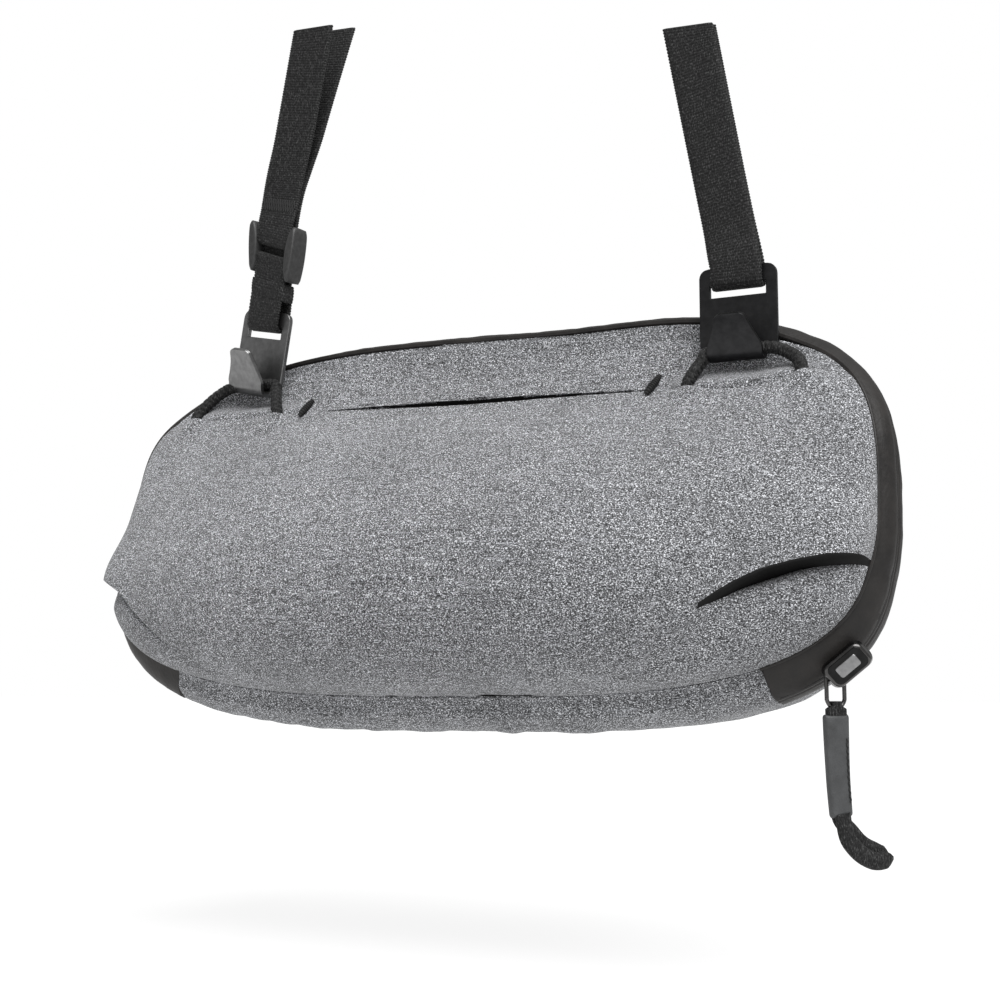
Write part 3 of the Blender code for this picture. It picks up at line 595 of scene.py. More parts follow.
def plain_black(name, level, roughness, size, depth):
    s = Shader(name, roughness, Specular_IOR_Level=0.4)
    grain = s.noise(size, 3.0, 0.6)
    s.colour(s.ramp(grain, [(0.3, level * 0.7), (0.7, level * 1.35)]))
    return s.bump(grain, depth, 0.6).material


def soft_lining(name, colour):
    s = Shader(name, 0.95, Sheen_Weight=0.4, Sheen_Roughness=0.6, Specular_IOR_Level=0.2)
    nap = s.noise(1500, 2.0, 0.6)
    low = tuple(c * 0.75 for c in colour)
    worn = s.ramp(s.noise(40, 2), [(0.3, 0.85), (0.7, 1.1)])
    s.colour(s.mix(s.ramp(nap, [(0.3, low), (0.7, colour)]), worn, 1.0, "MULTIPLY"))
    return s.bump(nap, 0.0003, 0.5).material


def leather_grey(name):
    s = Shader(name, 0.5, Specular_IOR_Level=0.45)
    links = [("Vector", s.where), ("Scale", 900.0), ("Randomness", 1.0)]
    cells = s.add("ShaderNodeTexVoronoi", links, feature="DISTANCE_TO_EDGE").outputs["Distance"]
    tone = s.noise(120, 4.0, 0.6)
    s.colour(s.ramp(tone, [(0.3, (0.03, 0.031, 0.032)), (0.72, (0.06, 0.062, 0.064))]))
    return s.rough(tone, 0.42, 0.6).bump(s.ramp(cells, [(0.0, 0.0), (0.12, 1.0)]), 0.0001, 0.35).material


GREY = woven_grey("woven_grey")
# Near-black material for faces deep in folds and slits: painted shade.
PAINTED_SHADE = plain_black("painted_shade_black", 0.004, 0.95, 1500, 0.0001)
TAPE = coated_black("coated_black")
RIBBED = ribbed_black("ribbed_webbing")
BRAID = ribbed_black("braided_cord", 0.9)
THREAD = plain_black("thread_black", 0.012, 0.7, 3000, 0.0001)
COIL = plain_black("coil_black", 0.012, 0.38, 800, 0.00005)
HOOK_DARK = dark_metal("hook_dark", (0.034, 0.034, 0.035), 0.4)
# A lighter copy of the dark hook metal: painted reflection of the white room on the left hook, both hooks
# being the same metal.
HOOK_PAINTED_REFLECTION = dark_metal("hook_painted_reflection", (0.19, 0.19, 0.19), 0.36)
GUNMETAL = dark_metal("gunmetal", (0.085, 0.083, 0.082), 0.2, 0.05)
GLOSS = dark_metal("slider_recess", (0.02, 0.02, 0.02), 0.12, 0.03)
INLAY = dark_metal("slider_inlay", (0.25, 0.25, 0.252), 0.3, 0.05)
LEATHER = leather_grey("leather_grey")
PLASTIC = plain_black("glide_plastic", 0.028, 0.45, 600, 0.00006)
LINING = soft_lining("brushed_lining", (0.2, 0.205, 0.22))
PADDING = soft_lining("padding_cloth", (0.1, 0.102, 0.11))
NET = plain_black("net_thread", 0.02, 0.7, 2500, 0.0001)


# ---------------------------------------------------------------- front shell

# The dart's line over the front panel: across share, height, and how deep the fold tucks in.
DART = np.array([
    (-1.0, -81.0, 2.0), (-0.967, -84.0, 3.0), (-0.912, -90.0, 3.2), (-0.88, -97.0, 2.8),
    (-0.855, -105.0, 1.9), (-0.838, -111.0, 1.0), (-0.8, -114.0, 0.0), (-0.5, -112.0, 0.0),
    (0.0, -109.0, 0.0), (0.5, -104.0, 0.0), (0.7, -100.5, 0.0), (0.715, -98.4, 1.8),
    (0.735, -95.2, 5.5), (0.765, -91.2, 9.5), (0.81, -87.0, 12.5), (0.87, -83.4, 10.5),
    (0.93, -81.2, 7.0), (0.97, -80.4, 3.6), (1.0, -80.0, 1.8),
])
UNDERCUT = ((-0.2, 0.1, 0.1), (-0.4, 1.2, 0.3), (-0.6, 1.9, 0.6), (-0.8, 1.2, 0.9), (-1.05, 0.0, 1.0))
FRONT_GRID = (221, 74, 54)  # columns, rows above the dart, rows below it


def dart_at(across):
    return np.interp(across, DART[:, 0], DART[:, 1]), np.interp(across, DART[:, 0], DART[:, 2])


def mouth_gape(x):
    """How far the pocket's mouth stands open between its tacks, from 0 to 1."""
    return np.maximum(1 - (np.abs(x) / 73.0) ** 1.15, 0.0)


def cord_pocket(x):
    """1 where a cord's end goes down behind the hem, 0 away from it."""
    return sum(np.exp(-(((np.abs(x) - at) / 4.6) ** 2)) for at in (86.0, 126.3))


def mouth_edge(x):
    """The height at which the upper panel turns in behind the mouth."""
    return -10.5 + 1.4 * mouth_gape(x)


def front_rows(columns, upper, lower):
    """(across, z, y) grids of the front panel, with rows that follow the dart's fold."""
    t = np.linspace(-1, 1, columns)
    across = np.sign(t) * (1 - (1 - np.abs(t)) ** 1.7)
    line, depth = dart_at(across)
    gape = 1.9 * mouth_gape(half_width_at(MOUTH_Z) * across)
    heights, ys = [], []
    for share in 1 - (1 - np.linspace(0, 1, upper)) ** 0.9:
        z = MOUTH_Z - gape * (1 - share) ** 6 + (line - MOUTH_Z) * share
        heights.append(z)
        x = half_width_at(MOUTH_Z) * across
        over = cord_pocket(x)
        tucked = 1.8 * smooth(76.0, 83.0, np.abs(x)) * (1 - over) * smooth(-1.6, 0.0, z - MOUTH_Z)
        tucked = tucked - 2.7 * over * smooth(-11.0, 0.0, z - MOUTH_Z)
        ys.append(upper_surface(across, z) - gape * np.exp(-(MOUTH_Z - z) / 5.0) + tucked)
    for dz, lift, tuck in UNDERCUT:
        z = line + dz + lift * depth / 10
        heights.append(z)
        sharp = smooth(0.0, 1.5, depth)
        start = upper_surface(across, line) * sharp + upper_surface(across, z) * (1 - sharp)
        ys.append(start + depth * tuck)
    turns = np.linspace(0.0, math.pi / 2, lower + 1)[1:]
    for turn in turns:
        start = line - 1.05
        share = np.sin(turn) ** 1.05
        z = start + (PANEL_BOTTOM_Z - start) * share
        fall = np.maximum(line - z, 0.0)
        reach = np.where(across > 0, 38.0, 24.0)
        tucked = depth * (0.5 * np.exp(-(fall - 1.05) / 2.4) + 0.5 * (1 - smooth(0, 1, fall / reach)))
        heights.append(z)
        ys.append(front_y(across, z) + tucked)
    heights, ys = np.array(heights), np.array(ys)
    return np.broadcast_to(across, heights.shape), heights, ys


def upper_surface(across, z):
    """The panel above the dart: its ends stand out as a wall in front of the seam."""
    reach = np.abs(across)
    low = smooth(-38.0, -80.0, z)
    wall = smooth(0.86, 0.97, reach) * (1 - smooth(0.985, 1.0, reach))
    return front_y(across, z) - 3.6 * low * wall


def front_grid(columns, upper, lower):
    across, z, y = front_rows(columns, upper, lower)
    reach = np.abs(across)
    out = 0.6 * smooth(-38.0, -80.0, z) * smooth(0.95, 0.985, reach) * (1 - smooth(0.99, 1.0, reach))
    tip = smooth(-56.0, -81.0, z) * smooth(0.92, 0.985, reach) * (1 - smooth(0.99, 1.0, reach))
    out = out + 3.0 * tip * (across < 0)
    below = z < dart_at(across)[0] - 0.9
    over_band = 2.8 * smooth(-86.0, -94.0, z) * smooth(-122.0, -112.0, z) * smooth(0.8, 1.0, reach)
    out = np.where(below, over_band * (across < 0), out)
    x = half_width_at(z) * across + np.sign(across) * out
    return skewed(x, y, z)


def front_swell():
    """Cloth blown over the front's plain form, held along its seams."""
    grid = front_grid(61, 16, 12)
    back = grid.copy()
    back[..., 1] = np.maximum(grid[..., 1] + 4.0, -2.0)
    rows, columns, _ = grid.shape
    count = rows * columns
    edge = [r * columns + c for r, c, _, _ in border(rows, columns)]
    faces = quads(rows, columns, False) + [f[::-1] for f in quads(rows, columns, False, count)]
    for a, b in zip(edge, edge[1:] + edge[:1]):
        faces.append((a, b, count + b, count + a))
    verts = np.concatenate([grid.reshape(-1, 3), back.reshape(-1, 3)])

    def pinned(points):
        inside = np.abs(points[:, 0]) < half_width_at(points[:, 2]) - 9
        upright = (points[:, 2] < -18) & (points[:, 2] > -118)
        return ~(inside & upright & (points[:, 1] < -9))

    return swelling(verts, faces, pinned)


def make_front_cover():
    grid = front_grid(*FRONT_GRID)
    grid = swollen(grid, front_swell())
    normals = facing_out(grid, BAG_CENTRE)
    x, z = grid[..., 0], grid[..., 2]
    edge = smooth(0, 14, half_width_at(np.clip(z, -125.9, 13)) - np.abs(x))
    broad = wave_noise(grid * np.array([0.5, 1, 1.0]), 26.0, 3) * 0.5
    fine = wave_noise(grid * np.array([0.6, 1, 1.4]), 9.0, 5) * 0.16
    # Short puckers run up from the bottom seam, and soft folds fan out from the right dart's tip.
    puckers = wave_noise(grid * np.array([1, 0, 0.25]), 7.0, 9) * 0.7 * (1 - smooth(-124, -108, z))
    around = np.arctan2(z + 97.0, x - 104.0)
    near = np.exp(-(np.hypot(x - 100.0, z + 99.0) / 26.0) ** 2)
    fan = np.sin(around * 5.0) * 0.5 * near * smooth(2, 9, np.hypot(x - 104, z + 97))
    grid = grid + normals * (edge * (broad + fine) + puckers * edge + fan * edge)[..., None]
    columns, upper, _ = FRONT_GRID
    across = front_rows(*FRONT_GRID)[0][0]
    # The right dart's undercut faces take the near-black material: painted shade under the fold's lip.
    deep = (dart_at(across)[1] > 1.2) & (across > 0)
    shaded = np.zeros((len(grid) - 1, columns - 1), bool)
    shaded[upper - 1:upper + len(UNDERCUT)] = (deep[1:] & deep[:-1])[None, :]
    return sheet("front_cover", grid, 1.5, GREY, IN_BAG, shaded=shaded)


def upper_y(across, z):
    """The upper panel leans back from the mouth. Beyond the tacks it runs on from the front."""
    x = half_width_at(z) * across
    lean = 7.2 - 8.6 * np.maximum((6.0 - z) / 22.0, 0.0) ** 1.8
    beyond = smooth(76.0, 84.0, np.abs(x))
    run_on = MOUTH_Y - 0.35 - lean + 1.6 * smooth(-1.0, -3.5, z - MOUTH_Z) + 1.5 * cord_pocket(x)
    lean = lean + beyond * run_on * smooth(-4.5, MOUTH_Z + 0.8, z) ** 1.3
    lean = lean + 8.0 * smooth(0.0, 0.15, mouth_gape(x)) * smooth(0.0, 1.2, mouth_edge(x) - z)
    edge = seam_depth(angle_at(z))
    return lean + (edge - lean) * smooth(0.86, 1.0, np.abs(across))


def make_upper_cover():
    across = np.linspace(-1, 1, 181)
    rows = []
    levels = [np.linspace(13.3, 11.0, 7), np.linspace(10.3, -9.4, 24), np.linspace(-9.7, -12.6, 14)]
    heights = np.concatenate(levels + [np.linspace(-13.2, MOUTH_Z - 3.5, 6)])
    for z in heights:
        half = half_width_at(np.minimum(z + 1.5 * smooth(-8.0, 4.0, z), 13.95)) - 1.2
        y = upper_y(across, z)
        rows.append(skewed(half * across, y, np.full_like(across, z)))
    grid = np.array(rows)
    x, z = grid[..., 0], grid[..., 2]
    inner = smooth(0, 8, 130 - np.abs(x)) * smooth(12.5, 8.0, z)
    soft = wave_noise(grid * np.array([0.5, 1, 1]), 11.0, 21) * 0.45 * inner
    levels, x = np.array(heights), x[-1]
    # Between the tacks, faces below the mouth's turn take the near-black material: painted shadow in the
    # pocket's mouth slit.
    low = (levels[1:, None] + levels[:-1, None]) / 2 < mouth_edge(x)[None, 1:] - 0.15
    shaded = low & (mouth_gape(x)[None, 1:] > 0.02)
    grid = grid + facing_out(grid, (0, 60, -30)) * soft[..., None]
    return sheet("upper_cover", grid, 1.5, GREY, IN_BAG, centre=(0, 60, -30), shaded=shaded)


def make_seam_cord():
    """The sewn edge where the front panels meet the zipper band."""
    angles = seam_angles(-BAND_END, 180 + BAND_END, 521)
    points = beside_seam(angles, 0.15, 0.35)
    return tube("front_seam", points, 0.7, TAPE, IN_BAG, sides=8)


# ---------------------------------------------------------------- zipper band and gusset


def band_profile(front):
    """(share of the band's outset, more outset, setback) across the band, from its front edge."""
    if front:
        return [
            (0.0, 0.2, 0.4), (0.02, -0.4, 1.2), (0.15, -0.4, 2.0), (0.34, 0.0, 3.0),
            (0.55, 0.3, 4.2), (0.74, 0.5, 5.6), (0.88, 0.6, 7.2), (0.97, 0.55, 8.6),
            (0.99, 0.1, 9.2), (1.0, -0.05, 9.7), (1.0, 0.35, 10.2), (1.0, 0.5, 10.9),
            (1.0, 0.35, 11.6), (1.0, 0.0, 12.1),
        ]
    return [
        (1.0, 0.0, 12.9), (1.0, 0.35, 13.4), (1.0, 0.5, 14.1), (1.0, 0.35, 14.8),
        (1.0, -0.05, 15.3), (1.0, 0.1, 15.8), (1.0, 0.3, 17.5), (1.0, 0.1, 19.4),
        (1.0, -0.4, 21.0), (1.0, -1.0, 22.0),
    ]


def band_grid(angles, front):
    return np.array([
        beside_seam(angles, band_out(angles) * share + more, setback)
        for share, more, setback in band_profile(front)
    ])


def make_band(name, front):
    angles = seam_angles(-BAND_END, 180 + BAND_END, 521)
    grid = band_grid(angles, front)
    ripple = wave_noise(grid * np.array([1, 0.35, 1]), 6.0, 31) * 0.28
    ripple += wave_noise(grid, 2.4, 33) * 0.07
    middle = np.sin(np.linspace(0, math.pi, len(grid)))[:, None]
    grid = grid + facing_out(grid, BAG_CENTRE) * (ripple * middle)[..., None]
    return sheet(name, grid, 1.2, TAPE, IN_BAG)


def make_band_stitches():
    """Raised stitches along the band's outer ridge, with the thread dipping between them."""
    angles = seam_angles(-BAND_END + 1, 179 + BAND_END, 470)
    pitch, steps = 2.4, 6
    path = resampled(beside_seam(angles, band_out(angles) + 0.05, 9.45), pitch / steps)

    def shape(i, _):
        return 0.55 + 0.45 * (0.5 + 0.5 * math.cos(i / steps * 2 * math.pi)) ** 0.5

    return tube("band_stitches", path, 0.28, THREAD, IN_BAG, sides=6, shape=shape)


def make_gusset():
    """One strip of fabric under the bag, across the line where the clamshell opens."""
    gap = 0.35
    angles = seam_angles(180 + BAND_END + gap, 360 - BAND_END - gap, 241)
    rows = []
    for setback in np.concatenate([[0.4, 1.0, 1.8], np.linspace(2.8, REAR_RUN, 22)]):
        share = smooth(0.0, 5.0, setback) * 0.62 + 0.38 * smooth(2.0, BAND_RUN, setback)
        more = 0.3 - 1.4 * smooth(BAND_RUN + 2, REAR_RUN, setback)
        rows.append(beside_seam(angles, band_out(angles) * share + more, setback))
    grid = np.array(rows)
    ends = np.sin(np.linspace(0, math.pi, grid.shape[1]))[None, :] ** 0.4
    across = np.sin(np.linspace(0, math.pi, len(grid)))[:, None]
    folds = wave_noise(grid * np.array([1, 0.12, 0.3]), 10.0, 41) * 1.3
    folds += wave_noise(grid * np.array([1, 0.3, 0.3]), 4.5, 43) * 0.4
    grid = grid + facing_out(grid, BAG_CENTRE) * (folds * across * ends)[..., None]
    return sheet("gusset", grid, 1.2, GREY, IN_BAG)


def make_coil(name, setback, hand):
    """The zipper's coil: a flattened helix that runs along the band's inner edge."""
    pitch = 1.5
    angles = seam_angles(-BAND_END + 1.5, 178.5 + BAND_END, 900)
    core = beside_seam(angles, 3.4, setback)
    path = resampled(core[::12], pitch / 8)
    back = np.array([0.0, 1.0, 0.0])
    out = unit(np.cross(headings(path), back))
    turn = np.arange(len(path)) / 8 * 2 * math.pi
    loop = back * (np.cos(turn) * hand * 0.85)[:, None] + out * (np.sin(turn) * 0.7)[:, None]
    return tube(name, path + loop, 0.32, COIL, IN_BAG, sides=5)


# ---------------------------------------------------------------- cords and tacks


def make_cord(name, side):
    inner, outer = CORD_ENDS
    lift = [float(skewed(side * x, 0, MOUTH_Z)[2]) - MOUTH_Z for x in (inner, outer)]
    seat_in, seat_out = HOOK_X - 10.5, HOOK_X + 10.5
    base_z = MOUTH_Z + 0.6
    points = [
        (side * (inner - 1.2), -6.2, base_z - 3.4 + lift[0]),
        (side * (inner - 0.6), -6.9, base_z + 0.6 + lift[0]),
        (side * (inner + 0.9), -5.2, -8.6 + lift[0] * 0.6),
        (side * (inner + 3.0), -1.8, -3.4 + lift[0] * 0.3),
        (side * seat_in, -0.2, -0.4),
        (side * HOOK_X, 0.0, 0.0),
        (side * seat_out, -0.1, -0.2),
        (side * (seat_out + 5.0), -0.6, -1.4),
        (side * (seat_out + 9.5), -1.6, -4.6 + lift[1] * 0.4),
        (side * (outer - 1.6), -3.7, -8.6 + lift[1] * 0.7),
        (side * (outer - 0.2), -5.4, base_z + 0.6 + lift[1]),
        (side * (outer + 0.4), -4.8, base_z - 3.4 + lift[1]),
    ]
    if side < 0:
        raised = np.array([0.0, 0.0, 0.3, 0.8, 1.0, 1.0, 1.0, 0.8, 0.5, 0.15, 0.0, 0.0])
        points = np.array(points) + raised[:, None] * np.array([HOOK_SHIFT, 0.0, HOOK_RAISE])
    step = 0.3

    def braid(i, angle):
        along = i * step * 2.6
        return 1.0 + 0.15 * max(math.cos(3 * angle + along), math.cos(3 * angle - along))

    return tube(name, resampled(points, step), CORD_RADIUS, BRAID, IN_BAG, sides=28, shape=braid)


def make_tack(name, x, lean):
    """A bar tack: a slanted row of close stitches across the end of the pocket's mouth."""
    points = []
    for share in np.linspace(-0.02, 0.84, 6):
        z = MOUTH_Z + 8.4 * (share - 0.22)
        y = MOUTH_Y - 2.0 + 4.4 * max(share - 0.1, 0)
        points.append(skewed(x + lean * share, y, z))
    path = resampled(np.array(points), 0.12)
    width = 1.45 * np.sin(np.linspace(0.5, 2.75, len(path))) ** 0.6

    def shape(i, _):
        return 0.68 + 0.4 * abs(math.sin(i * 0.42))

    return tube(name, path, width, THREAD, IN_BAG, sides=8, shape=shape)


# ---------------------------------------------------------------- rear shell


def round_seam(count):
    """Angles all round the seam."""
    return seam_angles(0.02, 360.02, count + 1)[:-1]


def ring_of(angles, outset, y):
    ring = beside_seam(angles, outset, 0.0)
    ring[..., 1] = y
    return ring


def shrunk(ring, y, shares):
    """Copies of the ring that shrink towards the middle of the back, at depth y."""
    centre = np.array([0.0, y, MIDDLE_Z + 5])
    return [ring + (centre - ring) * share for share in shares]


def make_rear_cover():
    """The rear shell's fabric: a soft side wall and a padded back."""
    angles = round_seam(360)
    start = beside_seam(angles, band_out(angles) - 1.0, REAR_RUN + 0.4)[..., 1]
    under = smooth(0.35, 0.9, -np.sin(angles))
    rows = []
    for inset, share in (
        (0.6, 0.0), (1.3, 0.12), (2.3, 0.3), (3.3, 0.5), (4.3, 0.68), (5.4, 0.83),
        (6.6, 0.93), (7.7, 0.985), (8.8, 1.0),
    ):
        outset = band_out(angles) - 1.0 - inset * (1 - 0.45 * under)
        rows.append(ring_of(angles, outset, start + (BACK_Y - start) * share))
    shares = np.concatenate([np.linspace(0.02, 0.2, 8), np.linspace(0.24, 0.98, 34)])
    grid = np.array(rows + shrunk(rows[-1], BACK_Y, shares))
    x, z = grid[..., 0], grid[..., 2]
    flat = smooth(BACK_Y - 1.5, BACK_Y, grid[..., 1])
    # The padded back has two sewn channels.
    inset = half_width_at(np.clip(z, -125, 13)) - np.abs(x)
    channels = sum(np.exp(-((z - at) / 1.2) ** 2) for at in (-38.0, -86.0)) * flat
    sewn = np.clip(channels * smooth(10, 16, inset), 0, 1)
    soft = wave_noise(grid * np.array([0.6, 1, 1]), 24.0, 51) * 0.6
    side = (1 - flat) * wave_noise(grid * np.array([1, 0.4, 1]), 9.0, 53) * 0.4
    grid = grid + facing_out(grid, BAG_CENTRE, True) * (side + flat * soft * 0.7 - sewn * 1.3)[..., None]
    return closed_bowl("rear_cover", grid, 1.5, GREY)


def closed_bowl(name, grid, thickness, material):
    """A closed sheet made of rings that shrink to a point: its last ring is filled."""
    rows, columns, _ = grid.shape
    inner = grid - facing_out(grid, BAG_CENTRE, True) * thickness
    rim = (grid[0] + inner[0]) / 2 + unit(grid[0] - grid[1]) * thickness * 0.4
    count = rows * columns
    verts = np.concatenate([grid.reshape(-1, 3), inner.reshape(-1, 3), rim])
    faces = quads(rows, columns, True) + [f[::-1] for f in quads(rows, columns, True, count)]
    faces.append(tuple(range(count - columns, count)))
    faces.append(tuple(range(2 * count - columns, 2 * count))[::-1])
    for i in range(columns):
        j = (i + 1) % columns
        faces.append((i, 2 * count + i, 2 * count + j, j))
        faces.append((2 * count + i, count + i, count + j, 2 * count + j))
    return add_mesh(name, verts, faces, material, IN_BAG)


def make_tray_lining():
    """The rear shell's lining."""
    angles = round_seam(240)
    rows = [beside_seam(angles, 0.6, 15.5), beside_seam(angles, 0.5, 18.5)]
    for outset, y in ((-1.0, 24.5), (-2.2, 26.4), (-3.6, 27.2), (-6.0, LINING_Y)):
        rows.append(ring_of(angles, outset, y))
    grid = np.array(rows + shrunk(rows[-1], LINING_Y, np.linspace(0.1, 0.97, 14)))
    soft = wave_noise(grid, 22.0, 61) * 0.35
    grid = grid - facing_out(grid, BAG_CENTRE, True) * soft[..., None]
    return closed_bowl("tray_lining", grid, 1.0, LINING)


def make_rear_padding():
    """The foam between the back's fabric and its lining."""
    angles = round_seam(160)
    y = BACK_Y - 1.9
    rows = [ring_of(angles, -3.0, y - 0.6), ring_of(angles, -4.0, y)]
    grid = np.array(rows + shrunk(rows[-1], y, (0.2, 0.5, 0.8, 0.96)))
    return closed_bowl("rear_padding", grid, 3.6, PADDING)


def make_front_wall():
    """The padded wall behind the front seam, with a soft face."""
    angles = round_seam(280)
    rows = []
    for share in np.linspace(0, 1, 9):
        crown = math.sin(share * math.pi)
        rows.append(beside_seam(angles, -3.4 + 2.8 * share - 0.2 * crown, 3.0 + 6.6 * share))
    return sheet("front_wall_lining", np.array(rows), 2.8, PADDING, IN_BAG, wrap=True)


def make_pocket_padding():
    """The padded inner wall behind the slip pocket."""
    t = np.linspace(-1, 1, 81)
    rows = []
    for z in np.linspace(-15.5, -109.0, 34):
        half = half_width_at(z) - 12.5
        mouth = smooth(-45.0, -14.0, z)
        y = front_y(t, np.full_like(t, z)) * 0.82 + 7.1 + 2.8 * mouth
        rows.append(skewed(half * t, y, np.full_like(t, z)))
    grid = np.array(rows)
    return sheet("pocket_padding", grid, 2.8, LINING, IN_BAG, centre=BACK_CENTRE, round_rim=0.5)


def make_card_pocket():
    """A net pocket on the lining, with a bound top edge."""
    rows = []
    for z in np.linspace(-66.0, -108.0, 19):
        bow = 5.6 * math.sqrt(max(1 - ((-66.0 - z) / 42.0) ** 2, 0.0))
        across = np.linspace(-1, 1, 75)
        y = LINING_Y - 2.6 - bow * (1 - across**6)
        rows.append(skewed(103.5 * across, y, np.full_like(across, z)))
    grid = np.array(rows)
    columns = grid.shape[1]
    faces = []
    for a, b, c, d in quads(len(grid), columns, False):
        odd = (a // columns + a % columns) % 2
        faces += [(a, b, c), (a, c, d)] if odd else [(a, b, d), (b, c, d)]
    obj = plain_object("card_pocket", grid.reshape(-1, 3), faces, NET, IN_BAG)
    add_modifier(obj, "WIREFRAME", thickness=0.0006, use_even_offset=False, use_boundary=True)
    bake(obj)
    obj.data.shade_smooth()
    hem = tube("card_pocket_hem", resampled(grid[0][::6], 1.5), 1.1, RIBBED, IN_BAG, sides=10)
    return obj, hem


def make_divider(name, x):
    """A padded wall: rounded and crowned on both faces."""
    profile = resampled(np.array([
        (9.0, 0, -22.5), (-4.0, 0, -45.0), (-14.5, 0, -75.0), (-12.5, 0, -100.0),
        (-2.0, 0, -111.5), (17.4, 0, -113.5), (17.6, 0, -70.0), (17.6, 0, -22.8), (9.0, 0, -22.5),
    ]), 2.0)[:-1]
    middle = np.array([4.5, 0, -68.0])
    rings = []
    for side, inset in ((-1, 0.55), (-1, 0.2), (-0.92, 0.06), (-0.6, 0.012), (0, 0.0),
                        (0.6, 0.012), (0.92, 0.06), (1, 0.2), (1, 0.55)):
        crown = 4.0 * side * (1.0 if abs(side) < 1 else (1.06 if inset > 0.4 else 1.0))
        ring = profile + (middle - profile) * inset
        rings.append(skewed(np.full(len(ring), x + crown), ring[:, 0], ring[:, 2]))
    return loft(name, rings, LINING, IN_BAG)


# ---------------------------------------------------------------- slider, ring and pull


def beside(path):
    """Sideways directions along a path in the XZ plane."""
    ahead = headings(path)
    return np.stack([-ahead[:, 2], np.zeros(len(path)), ahead[:, 0]], axis=1)


def zipper_line(degrees):
    angle = math.radians(degrees)
    return Vector(beside_seam(angle, band_out(angle), BAND_RUN))


def slider_frame():
    origin = zipper_line(-32.5)
    along = (zipper_line(-31.5) - zipper_line(-33.5)).normalized()
    outward = Vector((-along.z, 0, along.x))
    if outward.x < 0:
        outward.negate()
    turn = math.radians(60.0)
    up = outward * math.cos(turn) - Vector((0, math.sin(turn), 0))
    across = up.cross(along)
    matrix = Matrix((along, across, up)).transposed().to_4x4()
    matrix.translation = origin
    return matrix


def rounded_slab(name, half, wide, low, high, corner, material, place, crown=0.0, taper=1.0):
    """A slab with round corners in plan and rounded edges, centred on the place's Z axis."""
    outline = []
    for cx, cy, first in ((1, 1, 0), (-1, 1, 90), (-1, -1, 180), (1, -1, 270)):
        for degrees in range(0, 91, 10):
            angle = math.radians(first + degrees)
            outline.append((
                cx * (half - corner) + corner * math.cos(angle),
                cy * (wide - corner) + corner * math.sin(angle),
            ))
    outline = np.array(outline)
    edge = min((high - low) / 2, corner) * 0.7
    turns = [math.radians(d) for d in range(0, 91, 15)]
    rows = [(low + edge * (1 - math.cos(a)), edge * (1 - math.sin(a))) for a in turns]
    rows += [(high - edge * (1 - math.cos(a)), edge * (1 - math.sin(a))) for a in turns[::-1]]
    verts = []
    for z, inset in rows:
        scale = taper if z > (low + high) / 2 else 1.0
        for x, y in outline:
            verts.append((x * (1 - inset / half) * scale, y * (1 - inset / wide) * scale, z))
    count = len(outline)
    faces = quads(len(rows), count, True)
    ring = verts[-count:]
    for share in (0.7, 0.35):
        previous, start = len(verts) - count, len(verts)
        verts += [(x * share, y * share, high + crown * (1 - share**2)) for x, y, _ in ring]
        for i in range(count):
            j = (i + 1) % count
            faces.append((previous + i, previous + j, start + j, start + i))
    faces += [tuple(range(start, start + count)), tuple(range(count))[::-1]]
    return add_mesh(name, verts, faces, material, place)


def make_slider(place):
    base = rounded_slab("slider_base", 8.0, 4.0, 2.4, 4.2, 3.0, GUNMETAL, place)
    arch = resampled(np.array([
        (-6.7, 0, 3.2), (-6.7, 0, 5.2), (-6.4, 0, 6.9), (-5.4, 0, 7.6), (5.2, 0, 7.6), (6.3, 0, 6.9),
        (6.6, 0, 5.2), (6.6, 0, 3.2),
    ]), 0.5)
    out = beside(arch)
    rows = []
    for degrees in range(0, 360, 20):
        angle = math.radians(degrees)
        across, rise = 1.1 * rounded(math.cos(angle), 0.5), 0.65 * rounded(math.sin(angle), 0.5)
        rows.append(arch + out * rise + np.array([0, across, 0]))
    bar = loft("slider_bar", np.array(rows).transpose(1, 0, 2), GUNMETAL, place)
    moved = place @ Matrix.Translation((0.0, 1.9, 0))
    housing = rounded_slab("slider_housing", 8.0, 4.8, 7.4, 11.4, 2.9, GUNMETAL, moved, 0.0, 0.93)
    recess = rounded_slab("slider_recess", 6.6, 3.7, 10.9, 11.55, 2.1, GLOSS, moved, 0.0, 0.97)
    inlay = rounded_slab("slider_inlay", 4.2, 2.1, 11.1, 11.9, 0.9, INLAY, moved, 0.15, 0.95)
    return [base, bar], [housing, recess, inlay]


RING_TURN = math.radians(45.0)
RING_HALF = 3.3
RING_LENGTH = 5.8


def make_ring(place):
    points = []
    for step in range(72):
        angle = 2 * math.pi * step / 72
        across = RING_HALF * math.cos(angle)
        height = RING_HALF * math.sin(angle) - (RING_LENGTH if math.sin(angle) < 0 else 0.0)
        points.append((across * math.cos(RING_TURN), across * math.sin(RING_TURN), height))
    points = np.array(points)
    closed = resampled(np.concatenate([points, points[:1]]), 0.35)[:-1]
    return tube("zip_ring", closed, 0.68, GUNMETAL, place, sides=14, cyclic=True)


def pull_space(place):
    """The pull's own space: X along its width, Y out of its face, Z up."""
    return place @ Matrix.Translation((0, 0, -RING_LENGTH - RING_HALF)) @ Matrix.Rotation(
        RING_TURN, 4, "Z")


def flat_tube(name, path, widths, depths, material, place, sides=28, square=0.55, ribs=0.0):
    """A flattened tube in the pull's space: widths along X and depths along Y about a path."""
    side = beside(path)
    length = np.concatenate([[0], np.cumsum(np.linalg.norm(np.diff(path, axis=0), axis=1))])
    rows = []
    for i in range(len(path)):
        ring = []
        swell = 1 + ribs * abs(math.sin(math.pi * length[i] / RIB))
        for s in range(sides):
            angle = 2 * math.pi * s / sides
            across = widths[i] * rounded(math.cos(angle), square)
            deep = depths[i] * rounded(math.sin(angle), square) * swell
            ring.append(path[i] + side[i] * across + np.array([0, deep, 0]))
        rows.append(ring)
    return loft(name, rows, material, place)


